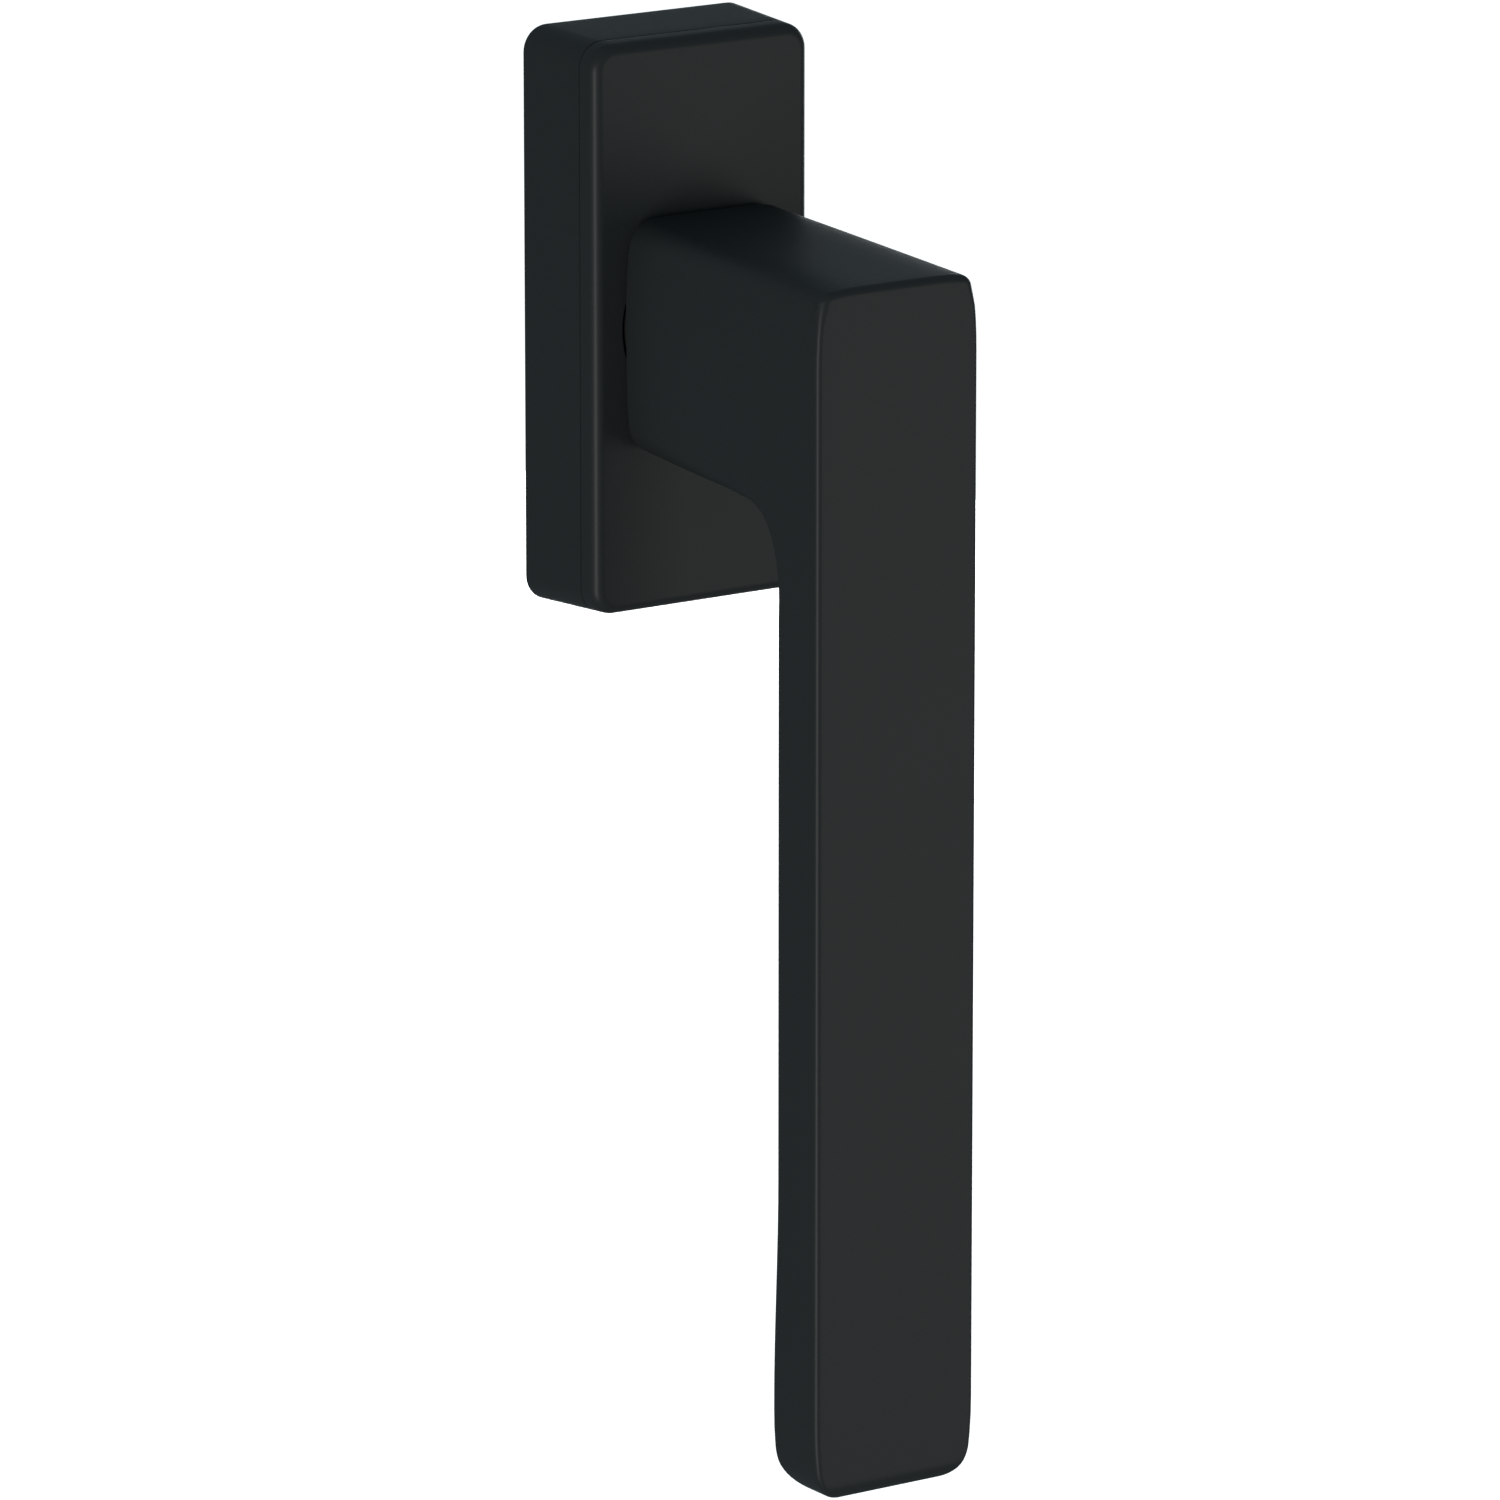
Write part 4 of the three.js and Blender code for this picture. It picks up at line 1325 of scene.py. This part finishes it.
class HANDLE_OT_stage(bpy.types.Operator):
    """Make the floor, the soft light and the camera"""

    bl_idname = "window_handle.stage"
    bl_label = "Stage"

    def execute(self, context):
        stage = context.scene.window_handle.stage
        self.floor(stage)
        self.light(context, stage)
        self.camera(context, stage)
        return {"FINISHED"}

    def floor(self, stage):
        """A floor that sweeps up into a wall all round. Only the camera sees it: it throws no light."""
        height = cad_bounds[0].z - stage.drop
        flat, bend, wall, sides = 3.0, 2.0, 4.0, 96
        profile = [(MM, 0.0), (flat, 0.0)]
        profile += [(flat + rise, inset) for inset, rise in quarter_round(bend, 16)]
        profile.append((flat + bend, wall))
        turns = [2 * math.pi * i / sides for i in range(sides)]
        rings = [[at(r * math.cos(a), height + rise, -r * math.sin(a)) for a in turns] for r, rise in profile]
        points, faces = skin(rings)
        floor = new_object("floor", points, faces[:-1])
        material, tree = surface("floor_paint")
        shade_out(tree, {
            "Base Color": rgba(stage.floor), "Roughness": 0.9, "Specular IOR Level": 0.1,
            "Emission Color": (1, 1, 1, 1), "Emission Strength": stage.glow,
        })
        floor.data.materials.append(material)
        for unseen in ("diffuse", "glossy", "transmission", "volume_scatter", "shadow"):
            setattr(floor, "visible_" + unseen, False)
        floor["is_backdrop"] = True

    def light(self, context, stage):
        """Surroundings that brighten upwards, and three lights."""
        world = bpy.data.worlds.new("studio")
        context.scene.world = world
        world.use_nodes = True
        world.node_tree.nodes.clear()
        tree = Tree(world.node_tree)
        way = tree.add("ShaderNodeTexCoord", output="Generated")
        height = tree.add("ShaderNodeSeparateXYZ", {"Vector": way}, "Z")
        horizon = 0.1
        strength = stage.low_light + (height + horizon).unit() * (stage.high_light - stage.low_light)
        sky = tree.add("ShaderNodeBackground", {"Color": rgba(stage.tint), "Strength": strength})
        tree.add("ShaderNodeOutputWorld", {"Surface": sky})
        for name, watts, azimuth, size, tone in (
            ("key", stage.key, stage.key_azimuth, (0.5, 0.5), (1.0, 0.96, 0.91)),
            ("rim", stage.rim, stage.rim_azimuth, (0.16, 0.7), (1.0, 0.98, 0.95)),
            ("fill", stage.fill_light, stage.fill_azimuth, (0.7, 0.7), (1.0, 1.0, 1.0)),
        ):
            self.lamp(context, stage, name, watts, azimuth, size, tone)

    def lamp(self, context, stage, name, watts, azimuth, size, tone):
        lamp = bpy.data.lights.new(name, "AREA")
        lamp.shape = "RECTANGLE"
        lamp.size, lamp.size_y = size
        lamp.energy = watts
        lamp.color = tone
        thing = bpy.data.objects.new(name, lamp)
        middle = (cad_bounds[0] + cad_bounds[1]) / 2
        way = direction(azimuth, stage.low)
        thing.location = middle + way * stage.reach
        thing.rotation_euler = way.to_track_quat("Z", "Y").to_euler()
        thing.visible_camera = False
        context.scene.collection.objects.link(thing)

    def camera(self, context, stage):
        """Aims the camera so that the rose and the lever are centred and fill the view's height."""
        data = bpy.data.cameras.new("camera")
        data.lens = stage.lens
        data.clip_end = 100
        thing = bpy.data.objects.new("camera", data)
        context.scene.collection.objects.link(thing)
        context.scene.camera = thing
        back = direction(stage.azimuth, stage.elevation)
        turn = (-back).to_track_quat("-Z", "Y")
        thing.rotation_euler = turn.to_euler()
        right, up = turn @ Vector((1, 0, 0)), turn @ Vector((0, 1, 0))
        shown = [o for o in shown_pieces() if o.name in ("rose_housing", "rose_cover_shell", "lever_casting")]
        points = [vertex.co for piece in shown for vertex in piece.data.vertices if vertex.co.y < 0.1 * MM]
        half_view = data.sensor_width / 2 / data.lens
        aim, distance = (cad_bounds[0] + cad_bounds[1]) / 2, 1.0
        for _ in range(12):
            eye = aim + back * distance
            rays = [point - eye for point in points]
            seen = [(ray.dot(right) / -ray.dot(back), ray.dot(up) / -ray.dot(back)) for ray in rays]
            low = [min(spot[i] for spot in seen) for i in (0, 1)]
            high = [max(spot[i] for spot in seen) for i in (0, 1)]
            aim = aim + (right * (low[0] + high[0]) + up * (low[1] + high[1])) / 2 * distance
            distance *= (high[1] - low[1]) / 2 / (half_view * stage.fill)
        thing.location = aim + back * distance
        context.scene.view_settings.view_transform = "Standard"


# ---------------------------------------------------------------- the add-on

class HANDLE_PT_panel(bpy.types.Panel):
    """The window handle's pieces and settings"""

    bl_idname = "HANDLE_PT_panel"
    bl_label = "Window handle"
    bl_space_type = "VIEW_3D"
    bl_region_type = "UI"
    bl_category = "Window handle"

    def draw(self, context):
        for operator in OPERATORS:
            self.layout.operator(operator.bl_idname)
        settings = context.scene.window_handle
        for part in HandleSettings.__annotations__:
            group = getattr(settings, part)
            box = self.layout.box()
            for name in group.__annotations__:
                box.prop(group, name)


SETTINGS = (
    CoatSettings, MetalSettings, LeverSettings, RoseSettings, ScrewSettings, HardwareSettings, StageSettings,
    HandleSettings,
)
OPERATORS = (
    HANDLE_OT_rose_body, HANDLE_OT_rose_cover, HANDLE_OT_lever, HANDLE_OT_bearing, HANDLE_OT_spindle,
    HANDLE_OT_retainers, HANDLE_OT_detent, HANDLE_OT_base_plate, HANDLE_OT_screws, HANDLE_OT_stage,
)


def register():
    for cls in (*SETTINGS, *OPERATORS, HANDLE_PT_panel):
        bpy.utils.register_class(cls)
    bpy.types.Scene.window_handle = PointerProperty(type=HandleSettings)


def unregister():
    del bpy.types.Scene.window_handle
    for cls in (HANDLE_PT_panel, *reversed(OPERATORS), *reversed(SETTINGS)):
        bpy.utils.unregister_class(cls)


def main():
    register()
    bpy.ops.window_handle.rose_body()
    bpy.ops.window_handle.rose_cover()
    bpy.ops.window_handle.lever()
    bpy.ops.window_handle.bearing()
    bpy.ops.window_handle.spindle()
    bpy.ops.window_handle.retainers()
    bpy.ops.window_handle.detent()
    bpy.ops.window_handle.base_plate()
    bpy.ops.window_handle.screws()
    bpy.ops.window_handle.stage()


if __name__ == "__main__":
    main()
